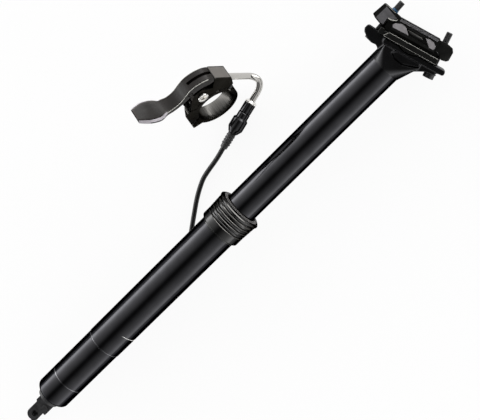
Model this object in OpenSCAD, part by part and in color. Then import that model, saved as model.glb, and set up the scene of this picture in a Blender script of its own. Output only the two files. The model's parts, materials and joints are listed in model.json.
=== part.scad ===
// Dropper seatpost with a bar remote and its cable, lying level on one flank of the saddle clamp.
// +X runs along the post's axis to the saddle, +Y to the bicycle's front, +Z up to its left side.
// The origin is on the axis at the lower face of the collar, where the bicycle's seat tube ends.

/* [Outer tube] */
// Diameter that fits the bicycle's seat tube
tube_d = 31.6; // [28:0.1:36]
// Wall of the outer tube
tube_wall = 1.5; // [1.2:0.1:2]
// Length of the outer tube below the collar
tube_len = 183; // [175:1:215]
// Length of the full-diameter fit below the collar
fit_len = 137; // [60:1:150]
// How much thinner the tube is below the fit, in radius
relief = 0.3; // [0.1:0.1:0.6]

/* [Collar] */
// Length of the collar
collar_len = 26; // [24:0.5:34]
// Diameter of the collar's top flange
collar_d = 38.8; // [37.5:0.1:44]
// Diameter of the collar's ribbed body
collar_body_d = 36.4; // [35:0.1:37]
// Length of the plain band and lip below the ribs
band_len = 8.7; // [7:0.1:10]
// Number of chamfers that end the band and the grip ribs
rib_count = 4; // [2:1:5]
// Depth of the grooves between the ribs
rib_depth = 0.8; // [0.3:0.1:1.1]

/* [Shaft] */
// Diameter of the sliding shaft
shaft_d = 27; // [25:0.1:27.6]
// Wall of the shaft
shaft_wall = 2; // [1.5:0.1:2.4]
// Length of the shaft above the collar's lower face
shaft_out = 181; // [181:1:230]
// Length of the shaft below the collar's lower face
shaft_in = 26; // [18:1:26]
// Drop of the saddle
travel = 150; // [60:1:150]
// Diameter of the brass guide pins
guide_d = 2; // [1.5:0.1:2.2]

/* [Cartridge] */
// Outer diameter of the gas spring's cylinder
cyl_d = 22; // [18:0.5:22.4]
// Wall of the cylinder
cyl_wall = 1.2; // [0.8:0.1:2]
// Diameter of the hollow rod
rod_d = 10; // [8:0.5:12]
// Diameter of the valve pin
valve_d = 3; // [2:0.5:4]

/* [Bottom end] */
// Length of the bottom cap below the tube
cap_len = 22; // [18:1:26]
// Rounding of the cap's lower edge
cap_round = 3.5; // [1:0.5:5]
// Width of the actuator bracket
fork_w = 14.5; // [12.5:0.5:16]
// Length of the bracket's cheeks below the cap
fork_len = 15.5; // [15:0.5:18]
// Width of the actuator lever
act_w = 11; // [9.5:0.5:11.5]
// Thickness of the actuator lever
act_t = 6; // [4:0.5:7]
// Reach of the actuator lever below the cap
act_reach = 29; // [27:0.5:34]

/* [Saddle clamp] */
// Angle between the saddle rails and the post's axis
rail_angle = 74; // [70:0.5:78]
// Height of the rails' plane above the shaft's end, along the axis
rail_rise = 27.4; // [27:0.2:36]
// Diameter of the saddle rails
rail_d = 7; // [6.8:0.1:7.2]
// Distance between the rails' centres
rail_gap = 44; // [43:0.5:46]
// Width of the clamp across the rails
clamp_w = 52; // [51.5:0.5:56]
// Width of the head under the clamp
head_w = 36; // [32:0.5:36.5]
// Gap between the two clamp halves at the rails
jaw_gap = 3.4; // [2:0.2:4.4]
// Diameter of the clamp bolts
bolt_d = 5; // [4:0.5:5]
// Radius of the cradle's seat in the head
seat_r = 16; // [15:0.5:17]

/* [Remote] */
// Diameter of the handlebar
bar_d = 31.8; // [31.4:0.1:32.2]
// Wall of the bar clamp
band_wall = 3.7; // [3:0.1:4.2]
// Width of the bar clamp
band_w = 13; // [12:0.5:16]
// Width of the lever and its bracket
lever_w = 12.4; // [11.5:0.1:12.8]
// Width of the lever's hub between the bracket's cheeks
hub_w = 7.2; // [6:0.1:7.6]
// Radius of the lever's hub
hub_r = 7.5; // [7:0.1:8]
// Thickness of the lever's arm
arm_t = 4.5; // [3.5:0.1:5.5]
// Thickness of the thumb paddle
paddle_t = 3.6; // [2.5:0.1:5]
// Diameter of the pivot bolt's shank
pivot_d = 6; // [5:0.5:6.5]

/* [Cable] */
// Diameter of the cable housing
housing_d = 4; // [3.5:0.1:4.2]
// Diameter of the noodle
noodle_d = 5.4; // [4:0.1:5.6]
// Diameter of the adjuster's barrel
barrel_d = 8.2; // [7:0.1:9.5]
// Diameter of the adjuster's knob
knob_d = 12.4; // [11:0.1:12.8]
// Pitch of the coil's turns and layers
coil_pitch = 4.5; // [4.5:0.1:5]
// Turns of the coil's lower layer
coil_low_turns = 3.75; // [2.75:1:3.75]
// Turns of the coil's upper layer
coil_top_turns = 2.75; // [1.75:1:2.75]

/* [Fits] */
// Radial clearance of a running fit
run_fit = 0.05; // [0.02:0.01:0.09]
// Gap between pieces that pass each other
body_gap = 0.3; // [0.2:0.05:0.4]

/* [Hidden] */
$fn = 96;
eps = 0.01;
floor_z = -clamp_w / 2;

// Radii and stations along the post
tube_r = tube_d / 2;
tube_bore_r = tube_r - tube_wall;
thread_r = tube_r - 0.4;
cap_r = tube_r - relief;
shaft_r = shaft_d / 2;
shaft_bore_r = shaft_r - shaft_wall;
lip_len = 1.6;
lip_r = tube_r + 0.6;
flange_len = 5;
tube_seat = collar_len - 10;
collar_r = collar_d / 2;
body_r = collar_body_d / 2;
seal_r = tube_r + 0.6;
seal_from = tube_seat + 2;
seal_to = collar_len - 2;
mouth_r = shaft_r + 0.7;
bush_len = 20;
cap_from = -tube_len - cap_len;
spigot_len = 6;
spigot_r = tube_bore_r;
cap_floor = 5;
cyl_r = cyl_d / 2;
cyl_bore_r = cyl_r - cyl_wall;
rod_r = rod_d / 2;
valve_r = valve_d / 2;
gland_len = 10;
piston_len = 10;
plug_len = 12;
cyl_from = -shaft_in + 2;
plug_depth = 8;
cyl_to = shaft_out - plug_depth;
piston_at = cyl_from + gland_len + 1;
float_len = 8;
float_share = 0.25;
float_at = cyl_to - plug_len - 4 - float_len - float_share * travel;
guide_at = (shaft_r + tube_bore_r) / 2;
guide_len = 16;
guide_angles = [90, 210, 330];

// The actuator under the cap, whose middle lies beside the axis
act_y = -0.7;
fork_y = -1.1;
base_t = 4.5;
base_r = 10;
fork_gap = act_t + 2 * body_gap;
fork_t = 2.4;
act_pin_r = 1.8;
act_pin_at = [cap_from - 10.5, act_y - 3.4];
valve_gap = 0.4;
heel_x = cap_from - 6.6;
valve_from = heel_x + valve_gap;
socket_at = [cap_from - act_reach + 6.5, act_y - 0.5];
socket_r = 2.9;
socket_floor = 1.5;

// The clamp's frame: x to the rear along the rails, y up from them, z across
rail_x = shaft_out + rail_rise;
rail_r = rail_d / 2;
tilt_at = [2.3, 8];
cradle_r = seat_r - body_gap;
cradle_from = -17;
cradle_to = 24.3;
jaw = jaw_gap / 2;
flank_in = head_w / 2 + 0.8;
flank_low = -rail_r - 1.5;
plate_low = -rail_r;
rim = -5.9;
bolt_lug_w = 15;
nose_from = -24;
nose_low = -5;
nose_top = -0.4;
nose_in = bolt_lug_w / 2 + 0.7;
nose_out = rail_gap / 2 - rail_r - 1;
bolt_room = 6;
pocket_t = 9;
recess_t = 6;
// Lengths of cuts that run right through, and of those that only clear a bolt's head
through = 60;
head_room = 20;
bolt_r = bolt_d / 2;
bolt_head_r = bolt_d * 0.85;
bolt_head_h = bolt_d * 0.7;
washer_t = 1.2;
// Each bolt's foot, lean, and the distances from its foot to its seat and tip
bolts = [[[-26.5, -10], -12.5, 1, 33], [[24.1, -10], 3.5, -2.4, 29.6]];
nut_lift = [20.5, 16];
nut_r = 4;
nut_len = 15;
ear_w = 18;

// The remote's frame: z along the bar, x and y across it
remote_at = [69.5, 76.4, -5];
remote_turn = [66, 12, -10];
bar_r = bar_d / 2;
band_r = bar_r + band_wall;
pivot_at = [-4.4, 25.4];
pivot_r = pivot_d / 2;
pivot_bush_r = pivot_r + 1.2;
lever_half = lever_w / 2;
hub_half = hub_w / 2;
cheek_in = hub_half + body_gap;
cheek_r = hub_r + 1.4;
hinge_at = [17.2, 11.2];
hinge_r = 3;
hinge_pin_r = 1.5;
hinge_half = 3;
lug_at = [-20.6, -2.4];
lug_turn = 19;
split = 0.8;
lug_bolt_r = 1.5;
lug_clear = 0.7;
lug_off = 2.6;
noodle_r = noodle_d / 2;
noodle_socket = [20.8, 17.65];
noodle_lean = -54.2;
sock_len = 6;

// The adjuster's frame: z along the cable, away from the noodle
adjuster_at = [88, 54.2, floor_z + knob_d / 2 + 0.2];
adjuster_turn = [0, 90, 193];
adjuster_way = [cos(adjuster_turn.z), sin(adjuster_turn.z), 0];
flange_t = 1.4;
barrel_len = 10;
knob_len = 19.5;
ferrule_len = 14;
stud_r = 2.6;
housing_r = housing_d / 2;

// Route of the free housing, from the ferrule over the floor and under the tube to the coil
run_z = floor_z + 2;
coil_z = run_z + 0.7;
run_from = barrel_len + knob_len + ferrule_len - 1;
run_route = [
    adjuster_at + run_from * adjuster_way, adjuster_at + (run_from + 4) * adjuster_way, [37, 42.5, -21.2],
    [30, 41.4, -23.2], [22.5, 40.3, run_z],
    [14.5, 38.5, run_z], [5.8, 34.6, run_z], [-2.6, 29.8, run_z], [-10.6, 24.4, run_z],
    [-18.2, 19.2, run_z], [-26, 13.8, run_z], [-34.5, 8.6, run_z], [-44, 4.2, run_z],
    [-54.6, 1, run_z], [-66, -1.2, run_z], [-78, -2, run_z], [-90, -2, run_z],
    [-102, -2, run_z], [-114, -2, run_z], [-126, -2, run_z], [-138, -2, run_z],
    [-150, -2, run_z], [-162, -2, run_z], [-174, -2, run_z], [-186, -2, run_z],
    [-198, -2, run_z], [-210, -2.4, run_z], [-222, -3.2, run_z], [-234, -4, run_z],
    [-246, -4.6, run_z], [-258, -5, run_z], [-268, -5, run_z + 0.1], [-276, -5, run_z + 0.4],
    [-284, -5, coil_z], [-290, -5, coil_z]
];

// The coil spirals in on the floor, climbs where it turns back, and spirals out on top
coil_turn_r = 15.5;
coil_out_r = coil_turn_r + coil_low_turns * coil_pitch;
coil_start = run_route[len(run_route) - 1];
coil_at = [coil_start.x - housing_d, coil_start.y - coil_out_r];
coil_steps = 24;
coil_sides = 6;
coil_count = (coil_low_turns + coil_top_turns) * coil_steps;
tie_turn = 200;
tie_w = 8;
tie_t = 0.6;
tie_gap = 0.7;
end_len = 10;
wire_r = 0.6;
wire_len = 3;
nipple_r = 2.6;
nipple_len = 5;

// Frames
module on_axis(x = 0) {
    translate([x, 0, 0]) rotate([0, 90, 0]) children();
}
module in_clamp() {
    translate([rail_x, 0, 0]) rotate(-rail_angle) children();
}
module in_remote() {
    translate(remote_at) rotate(remote_turn) children();
}
module on_adjuster(t = 0) {
    translate(adjuster_at) rotate(adjuster_turn) translate([0, 0, t]) children();
}
module on_bolt(b) {
    translate(b[0]) rotate(b[1]) rotate([-90, 0, 0]) children();
}

// Shapes that repeat
module slab(h, points) {
    translate([0, 0, -h / 2]) linear_extrude(h) polygon(points);
}
module post_ring(x, l, r_in, r_out) {
    on_axis(x) difference() {
        cylinder(h = l, r = r_out);
        translate([0, 0, -1]) cylinder(h = l + 2, r = r_in);
    }
}
module rod(h, r) {
    translate([0, 0, -h / 2]) cylinder(h = h, r = r);
}

// Outline with every corner rounded to an arc of radius r
function unit(v) = v / norm(v);
function corner(a, b, c, r, n) =
    let (u = unit(a - b), v = unit(c - b), half = acos(u * v) / 2,
         d = r / tan(half), m = b + unit(u + v) * r / sin(half),
         s = b + u * d, e = b + v * d,
         t0 = atan2(s.y - m.y, s.x - m.x), t1 = atan2(e.y - m.y, e.x - m.x),
         sweep = (t1 - t0 + 540) % 360 - 180)
    [for (i = [0 : n]) m + r * [cos(t0 + sweep * i / n), sin(t0 + sweep * i / n)]];
function rounded(p, r, n = 5) =
    let (k = len(p))
    [for (i = [0 : k - 1]) each corner(p[(i + k - 1) % k], p[i], p[(i + 1) % k], r, n)];

// Tube swept along a path, with its seams turned by a fixed upward direction
function tangent(p, i) = unit(p[min(i + 1, len(p) - 1)] - p[max(i - 1, 0)]);
function ring_points(p, i, r, sides) =
    let (t = tangent(p, i), side = unit(cross(t, [0, 0, 1])), up = cross(side, t))
    [for (k = [0 : sides - 1]) p[i] + r * (side * cos(360 * k / sides) + up * sin(360 * k / sides))];
module swept(p, r, sides) {
    n = len(p);
    points = [for (i = [0 : n - 1]) each ring_points(p, i, r, sides)];
    walls = [for (i = [0 : n - 2], k = [0 : sides - 1])
        let (a = i * sides + k, b = i * sides + (k + 1) % sides)
        each [[a, b, b + sides], [a, b + sides, a + sides]]];
    first = [for (k = [1 : sides - 2]) [0, k + 1, k]];
    last = [for (k = [1 : sides - 2]) (n - 1) * sides * [1, 1, 1] + [0, k, k + 1]];
    polyhedron(points, concat(walls, first, last));
}

// The outer tube and what is fixed to it
module outer_tube() {
    color("#141416") difference() {
        on_axis() rotate_extrude() polygon([
            [tube_bore_r, -tube_len], [tube_r - relief, -tube_len], [tube_r - relief, -fit_len - 0.6],
            [tube_r - 2 * relief, -fit_len - 0.4], [tube_r - 2 * relief, -fit_len], [tube_r, -fit_len],
            [tube_r, 0], [thread_r, 0], [thread_r, tube_seat], [tube_bore_r, tube_seat]
        ]);
        for (a = guide_angles)
            rotate([a, 0, 0]) translate([0, guide_at, 0]) on_axis(-tube_len - 1)
                cylinder(h = tube_len - 3, r = guide_d / 2 + 0.1);
    }
}
rib_last = collar_len - flange_len;
rib_pitch = (rib_last - band_len) / (rib_count - 1);
module collar() {
    top = collar_len;
    floor_r = body_r - rib_depth;
    ribs = [for (i = [0 : rib_count - 2])
        let (x = band_len + i * rib_pitch)
        each [[body_r, x], [floor_r, x + rib_depth], [floor_r, x + 0.55 * rib_pitch],
              [body_r, x + 0.6 * rib_pitch]]];
    color("#1b1b1d") on_axis() rotate_extrude() polygon(concat(
        [[thread_r, 0], [lip_r, 0], [lip_r, lip_len], [body_r - 0.6, lip_len], [body_r, lip_len + 0.6]],
        ribs,
        [[body_r, rib_last], [floor_r, rib_last + rib_depth], [floor_r, rib_last + 1.2],
         [collar_r - 0.6, top - 2.8], [collar_r, top - 2], [collar_r, top - 1.7], [collar_r - 0.75, top - 0.95],
         [collar_r - 1.15, top - 0.55], [collar_r - 2.2, top], [mouth_r + 0.8, top], [mouth_r, top - 0.8],
         [mouth_r, seal_to],
         [seal_r, seal_to], [seal_r, seal_from], [mouth_r, seal_from], [mouth_r, tube_seat],
         [thread_r, tube_seat]]));
}
module wiper_seal() {
    color("#0d0d0d") on_axis() rotate_extrude() polygon([
        [shaft_r + run_fit + 0.6, seal_from], [seal_r, seal_from], [seal_r, seal_to], [mouth_r, seal_to],
        [mouth_r, collar_len - 0.8], [shaft_r + 0.4, collar_len - 0.2],
        [shaft_r + run_fit, collar_len - 0.5], [shaft_r + run_fit, collar_len - 1.5],
        [shaft_r + run_fit + 0.6, seal_to - 1]
    ]);
}
module upper_bushing() {
    color("#6b5a3a") post_ring(tube_seat - bush_len, bush_len, shaft_r + run_fit, tube_bore_r);
}
module bottom_cap() {
    inner = rod_r + 3;
    color("#141416") on_axis() rotate_extrude() polygon(concat(
        [[valve_r + 1, cap_from], [cap_r - cap_round, cap_from]],
        [for (a = [-75 : 15 : 0])
            [cap_r - cap_round + cap_round * cos(a), cap_from + cap_round + cap_round * sin(a)]],
        [[cap_r, -tube_len], [spigot_r, -tube_len], [spigot_r, -tube_len + spigot_len],
         [spigot_r - 2, -tube_len + spigot_len], [spigot_r - 2, cap_from + cap_floor + 6],
         [inner, cap_from + cap_floor + 4], [inner, cap_from + cap_floor],
         [valve_r + 1, cap_from + cap_floor]]));
}
module actuator_bracket() {
    low = cap_from - fork_len;
    color("#232325") difference() {
        union() {
            on_axis(cap_from - base_t) cylinder(h = base_t, r = base_r);
            for (s = [-1, 1])
                translate([0, 0, s * (fork_gap + fork_t) / 2]) slab(fork_t, rounded([
                    [cap_from - base_t + 1, fork_y + fork_w / 2], [low + 5, fork_y + fork_w / 2],
                    [low, fork_y + 1], [low, fork_y - fork_w / 2],
                    [cap_from - base_t + 1, fork_y - fork_w / 2]], 0.8));
        }
        on_axis(cap_from - base_t - 1) cylinder(h = base_t + 2, r = valve_r + 1);
        translate(act_pin_at) rod(clamp_w, act_pin_r);
    }
}
module actuator_pin() {
    long = fork_gap + 2 * fork_t;
    color("#8d8d90") translate(act_pin_at) {
        rod(long, act_pin_r);
        for (s = [-1, 1]) translate([0, 0, s * (long / 2 + 0.4)]) rod(0.8, act_pin_r + 0.7);
    }
}
module cartridge_rod() {
    color("#b9b9bd") on_axis(cap_from + cap_floor) difference() {
        cylinder(h = piston_at - cap_from - cap_floor, r = rod_r);
        translate([0, 0, -1]) cylinder(h = piston_at - cap_from, r = valve_r + 0.5);
    }
}
module cartridge_piston() {
    color("#9a9a9e") on_axis(piston_at) cylinder(h = piston_len, r = cyl_bore_r - body_gap);
}
module rod_nut() {
    color("#9a9a9e") on_axis(cap_from + cap_floor + 4) difference() {
        cylinder(h = 4, r = rod_r + 2.5, $fn = 6);
        translate([0, 0, -1]) cylinder(h = 6, r = rod_r);
    }
}

// The sliding shaft and what is fixed to it
module shaft_tube() {
    color("#121214") difference() {
        on_axis() rotate_extrude() polygon([
            [shaft_bore_r, -shaft_in], [shaft_r, -shaft_in], [shaft_r, shaft_out], [shaft_bore_r, shaft_out]]);
        for (a = guide_angles)
            rotate([a, 0, 0]) translate([0, guide_at, 0]) on_axis(-shaft_in - 1)
                cylinder(h = guide_len + 1, r = guide_d / 2);
    }
}
module lower_bushing() {
    color("#6b5a3a") difference() {
        post_ring(-shaft_in, guide_len, shaft_r, tube_bore_r - run_fit);
        for (a = guide_angles)
            rotate([a, 0, 0]) translate([0, guide_at, 0]) on_axis(-shaft_in - 1)
                cylinder(h = guide_len + 2, r = guide_d / 2);
    }
}
module guide_pins() {
    color("#b08d45") for (a = guide_angles)
        rotate([a, 0, 0]) translate([0, guide_at, 0]) on_axis(-shaft_in)
            cylinder(h = guide_len, r = guide_d / 2);
}
module cartridge_cylinder() {
    color("#8d8d90") post_ring(cyl_from, cyl_to - cyl_from, cyl_bore_r, cyl_r);
}
module cartridge_gland() {
    color("#2b2b2e") post_ring(cyl_from, gland_len, rod_r + run_fit, cyl_bore_r);
}
module cartridge_plug() {
    color("#9a9a9e") on_axis(cyl_to - plug_len) cylinder(h = plug_len, r = cyl_bore_r);
}
module floating_piston() {
    color("#c9c9cc") on_axis(float_at) cylinder(h = float_len, r = cyl_bore_r - run_fit);
}

// Head of the shaft
front_lug = [
    [-33.3, -3.4], [-23, -4.2], [-14, rim], [-12, -13], [-17.5, -19.5], [-18.8, -15.4], [-21, -13.9],
    [-24.8, -14.2], [-28.7, -12.9], [-33.2, -9.6], [-34.4, -7]
];
rear_lug = [
    [10, -9], [33.4, rim], [33.4, rim - 4.2], [28.6, rim - 4.9], [27.5, -13], [20.6, -13.8], [17, -15.6],
    [12, -18.4], [6, -20]
];
pocket = [[-8.5, -12.6], [-5, -10.2], [21, -10.2], [13, -14.2], [3, -17.2], [-3.5, -16]];
module post_head() {
    color("#121214") difference() {
        union() {
            hull() {
                on_axis(shaft_out) cylinder(h = eps, r = shaft_r, $fn = 48);
                in_clamp() slab(head_w - 6, [[-15, -12], [-15, rim - 4], [15, rim - 4], [15, -14.5]]);
            }
            in_clamp() {
                slab(head_w, rounded([[-17.5, rim], [33.4, rim], [33.4, rim - 4.2], [-17.5, rim - 4.2]], 1.6));
                slab(bolt_lug_w, rounded(front_lug, 0.9));
                slab(bolt_lug_w, rounded(rear_lug, 0.9));
            }
            on_axis(shaft_out - plug_depth) cylinder(h = plug_depth + 6, r = shaft_bore_r);
        }
        in_clamp() {
            translate(tilt_at) rod(head_w + 2, seat_r);
            for (s = [-1, 1]) translate([0, 0, s * (head_w / 2 - 0.5)]) slab(pocket_t, rounded(pocket, 1));
            for (b = bolts) on_bolt(b) {
                rod(through, bolt_r + 0.4);
                translate([0, 0, b[2] - head_room]) cylinder(h = head_room, r = bolt_head_r + 0.6);
            }
        }
    }
}
module clamp_bolts() {
    color("#1a1a1c") in_clamp() for (b = bolts) on_bolt(b) {
        from = b[2] - washer_t;
        difference() {
            translate([0, 0, from - bolt_head_h]) cylinder(h = bolt_head_h, r = bolt_head_r);
            translate([0, 0, from - bolt_head_h - 1])
                cylinder(h = bolt_d * 0.6 + 1, r = bolt_d * 0.46, $fn = 6);
        }
        translate([0, 0, from]) cylinder(h = b[3] - from - 0.6, r = bolt_r);
        translate([0, 0, b[3] - 0.6]) cylinder(h = 0.6, r1 = bolt_r, r2 = bolt_r - 0.6);
    }
}
module bolt_washers() {
    color("#3a3a3d") in_clamp() for (b = bolts) on_bolt(b) translate([0, 0, b[2] - washer_t]) difference() {
        cylinder(h = washer_t, r = bolt_head_r + 0.5);
        translate([0, 0, -1]) cylinder(h = washer_t + 2, r = bolt_r);
    }
}

// Saddle clamp that tilts on the head
module rails() {
    for (s = [-1, 1]) translate([0, 0, s * rail_gap / 2]) rotate([0, 90, 0]) rod(120, rail_r);
}
module lower_cradle() {
    span = [[cradle_from, plate_low], [cradle_to, plate_low], [cradle_to, -jaw], [cradle_from, -jaw]];
    flank = [[cradle_from, flank_low], [cradle_to, flank_low], [cradle_to, -jaw], [cradle_from, -jaw]];
    flank_t = clamp_w / 2 - flank_in;
    nose_t = nose_out - nose_in;
    nose_to = cradle_from + 1;
    nose = [
        [nose_to, plate_low], [nose_to - 2.4, plate_low], [nose_to - 3, nose_low], [nose_from + 0.4, nose_low],
        [nose_from, nose_low + 0.6], [nose_from + 0.4, nose_top], [nose_to - 4.5, nose_top],
        [nose_to - 3.5, -jaw], [nose_to, -jaw]];
    slot_from = bolts[1][0].x - bolt_room;
    color("#1c1c1b") in_clamp() difference() {
        union() {
            slab(clamp_w, span);
            for (s = [-1, 1]) translate([0, 0, s * (flank_in + flank_t / 2)]) slab(flank_t, flank);
            for (s = [-1, 1]) translate([0, 0, s * (nose_in + nose_t / 2)]) slab(nose_t, nose);
            intersection() {
                translate(tilt_at) rod(head_w - 1, cradle_r);
                slab(head_w, [[-16, -16], [20, -16], [20, -jaw - 0.5], [-16, -jaw - 0.5]]);
            }
        }
        rails();
        slab(2 * bolt_r + 4, [
            [slot_from, -through], [through, -through], [through, through], [slot_from, through]]);
    }
}
panel = [[-16, jaw], [-17.4, 5.2], [-11.6, 8.8], [14.6, 8.8], [18.6, 6.8], [18.8, jaw]];
recess = [[-7.1, 7.6], [8.8, 7.6], [14.2, 3.8], [-2.5, 3.8]];
front_ear = [
    [-29.9, 15.9], [-34, 4.9], [-31, 2.9], [-26.7, 1.2], [-23, 1], [-22.4, 5], [-17, 7], [-14.6, 12.3]
];
rear_ear = [
    [17, 11.2], [25.1, 11.6], [29.6, 10.6], [31.4, 8], [31.5, 1.5], [30, 0], [26.3, -0.8], [22.5, 2.5], [17, 5]
];
web = [[-22, 0.5], [-20, -1.2], [22.5, -1.2], [22.5, 6], [-22, 8]];
ridge = [[-16, 4.4], [-15.4, 12.3], [18.6, 12.3], [19.6, 4.4]];
web_w = 12;
module upper_clamp() {
    block_t = (clamp_w - head_w) / 2;
    color("#2a2a2d") in_clamp() difference() {
        union() {
            for (s = [-1, 1])
                translate([0, 0, s * (clamp_w - block_t) / 2]) slab(block_t, rounded(panel, 0.8));
            slab(head_w + 2, rounded(ridge, 0.8));
            slab(ear_w, rounded(front_ear, 0.8));
            slab(web_w, web);
            slab(ear_w - 2, rounded(rear_ear, 0.8));
        }
        rails();
        for (s = [-1, 1]) translate([0, 0, s * clamp_w / 2]) slab(recess_t, rounded(recess, 0.5));
        for (i = [0, 1]) on_bolt(bolts[i]) {
            cylinder(h = through, r = bolt_r + 1.5);
            translate([0, 0, nut_lift[i]]) rotate([90, 0, 0]) rod(nut_len, nut_r);
        }
    }
}
module barrel_nuts() {
    color("#77777b") in_clamp() for (i = [0, 1]) on_bolt(bolts[i]) difference() {
        translate([0, 0, nut_lift[i]]) rotate([90, 0, 0]) rod(nut_len, nut_r);
        cylinder(h = through, r = bolt_r + 0.9);
    }
}

// Actuator lever and the valve pin that it pushes
module actuator_lever() {
    low = cap_from - act_reach;
    half = act_w / 2;
    color("#2e2e31") difference() {
        union() {
            slab(act_t, rounded([
                [heel_x, act_y - 3], [heel_x, 1.5], [heel_x - 4, act_y + half], [low + half, act_y + half],
                [low + half, act_y - half], [act_pin_at.x + 1, act_y - half]], 0.8));
            translate([low + half, act_y]) rod(act_t, half);
        }
        translate(act_pin_at) rod(act_t + 2, act_pin_r + run_fit);
        translate([socket_at.x, socket_at.y, socket_floor - act_t / 2]) cylinder(h = act_t, r = socket_r);
        slab(2, [[low - 1, socket_at.y - 1], [socket_at.x, socket_at.y - 1], [socket_at.x, 40], [low - 1, 40]]);
    }
}
module valve_pin() {
    color("#c9c9cc") on_axis(valve_from) cylinder(h = cap_from + cap_floor + 30 - valve_from, r = valve_r);
}

// Remote: the bracket, its bar clamp and the lever
function polar(r, a) = [r * cos(a), r * sin(a)];
fork_shape = [
    [-21.5, 9], [-12.9, 28.4], [-9.5, 33], [-2, 34], [4.6, 27.5], [12, 20], [14, 12], [0, 17], [-14, 9]
];
block = [[10.9, 37.4], [21.8, 23], [20.4, 13.4], [12, 13], [3, 18], [6.6, 29.2], [9.2, 33.4]];
lug_block = [[-24.6, -9.8], [-24.2, 11], [-21, 16.5], [-12, 13], [-14, 0], [-15, -10.6]];
module lug_frame() {
    translate([lug_at.x, lug_at.y, lug_off]) rotate(lug_turn) children();
}
// The lug narrows towards its far side
module lug() {
    half = band_w / 2;
    intersection() {
        slab(band_w, rounded(lug_block, 1.2));
        translate([0, -40, 0]) rotate([-90, 0, 0]) linear_extrude(80) polygon([
            [lug_block[0].x - 1, -half], [0, -half], [0, half], [lug_at.x + 5, half]]);
    }
}
module bar_ring() {
    difference() {
        rod(band_w, band_r);
        rod(band_w + 2, bar_r);
    }
}
module split_side(up) {
    // Everything on one side of the plane through the hinge and the clamp bolt's split
    lug_frame() translate([0, up * (60 + split), 0]) cube([240, 120, 80], center = true);
}
module remote_bracket() {
    cheek_t = lever_half - cheek_in;
    color("#19191b") in_remote() difference() {
        union() {
            intersection() {
                union() {
                    bar_ring();
                    lug();
                }
                split_side(1);
            }
            for (s = [-1, 1])
                translate([0, 0, s * (cheek_in + cheek_t / 2)]) slab(cheek_t, rounded(fork_shape, 1.5));
            slab(lever_w, rounded(block, 0.8));
            slab(lever_w, [
                [-19, 6], [-19, 13.5], [-12, 15.6], [0, 17.2], [13, 15.4], [17.2, 11.2], [12, 9], [0, 12]]);
        }
        rod(band_w + 2, bar_r);
        translate(hinge_at) {
            rod(2 * hinge_half + 2 * body_gap, hinge_r + body_gap);
            rod(band_w + 2, hinge_pin_r);
        }
        translate(pivot_at) {
            rod(2 * cheek_in, hub_r + 1.2);
            rod(band_w + 4, pivot_r);
        }
        lug_frame() rotate([-90, 0, 0]) cylinder(h = 10, r = lug_bolt_r + lug_clear);
        translate(noodle_socket) rotate(noodle_lean) rotate([0, 90, 0]) rod(2 * sock_len, noodle_r);
        translate(noodle_socket) rotate(noodle_lean) rotate([0, 90, 0]) rod(60, 1.2);
    }
}
module clamp_band() {
    color("#19191b") in_remote() difference() {
        union() {
            intersection() {
                union() {
                    bar_ring();
                    lug();
                }
                split_side(-1);
                difference() {
                    rod(band_w, 60);
                    translate(hinge_at) rod(band_w + 2, hinge_r + body_gap);
                    slab(band_w + 2, [hinge_at, hinge_at + [0, 40], [60, 60], hinge_at + [40, 6]]);
                }
            }
            translate(hinge_at) rod(2 * hinge_half, hinge_r);
            slab(2 * hinge_half, [hinge_at, hinge_at + [2.6, -1.2], polar(band_r, 8), polar(bar_r + 0.5, 12)]);
        }
        rod(band_w + 2, bar_r);
        translate(hinge_at) rod(band_w, hinge_pin_r + run_fit);
        lug_frame() rotate([90, 0, 0]) {
            translate([0, 0, -2]) cylinder(h = 30, r = lug_bolt_r);
            translate([0, 0, 4]) cylinder(h = 30, r = lug_bolt_r + 1.6);
        }
    }
}
module clamp_hinge_pin() {
    color("#55555a") in_remote() translate(hinge_at) rod(band_w, hinge_pin_r);
}
module clamp_bolt() {
    color("#8d8d90") in_remote() lug_frame() rotate([90, 0, 0]) {
        translate([0, 0, -5]) cylinder(h = 9, r = lug_bolt_r);
        difference() {
            translate([0, 0, 4]) cylinder(h = 3, r = lug_bolt_r + 1.3);
            translate([0, 0, 5.4]) cylinder(h = 3, r = 1.4, $fn = 6);
        }
    }
}
module pivot_bolt() {
    color("#c4c0b8") in_remote() translate(pivot_at) difference() {
        union() {
            translate([0, 0, -lever_half]) cylinder(h = lever_w, r = pivot_r);
            translate([0, 0, lever_half]) cylinder(h = 1.6, r = pivot_r + 1.4);
            translate([0, 0, lever_half + 1.6]) cylinder(h = 0.6, r1 = pivot_r + 1.4, r2 = pivot_r + 0.7);
        }
        translate([0, 0, lever_half + 0.6]) cylinder(h = 3, r = 2, $fn = 6);
    }
}
module pivot_bush() {
    color("#6b5a3a") in_remote() translate(pivot_at) difference() {
        rod(2 * cheek_in, pivot_bush_r);
        rod(2 * cheek_in + 2, pivot_r);
    }
}
spring_r = [pivot_bush_r + 0.3, pivot_bush_r + 1.6];
spring_len = 2.4;
module return_spring() {
    color("#8d8d90") in_remote() translate(pivot_at) translate([0, 0, -cheek_in]) difference() {
        cylinder(h = spring_len, r = spring_r[1]);
        translate([0, 0, -1]) cylinder(h = spring_len + 2, r = spring_r[0]);
    }
}
// Middle line of the lever's outer face, from the split to the thumb's tip
lever_top = [
    [10.4, 38.2], [6.5, 41.3], [1.5, 43.2], [-4, 43.9], [-9.4, 43.1], [-14, 40.7], [-18, 37.9],
    [-22.6, 35.8], [-28, 35.4], [-33, 36.8], [-38, 40]
];
paddle_top = [[-33, 36.8], [-38, 40], [-44.5, 45], [-52.5, 49.8]];
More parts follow.
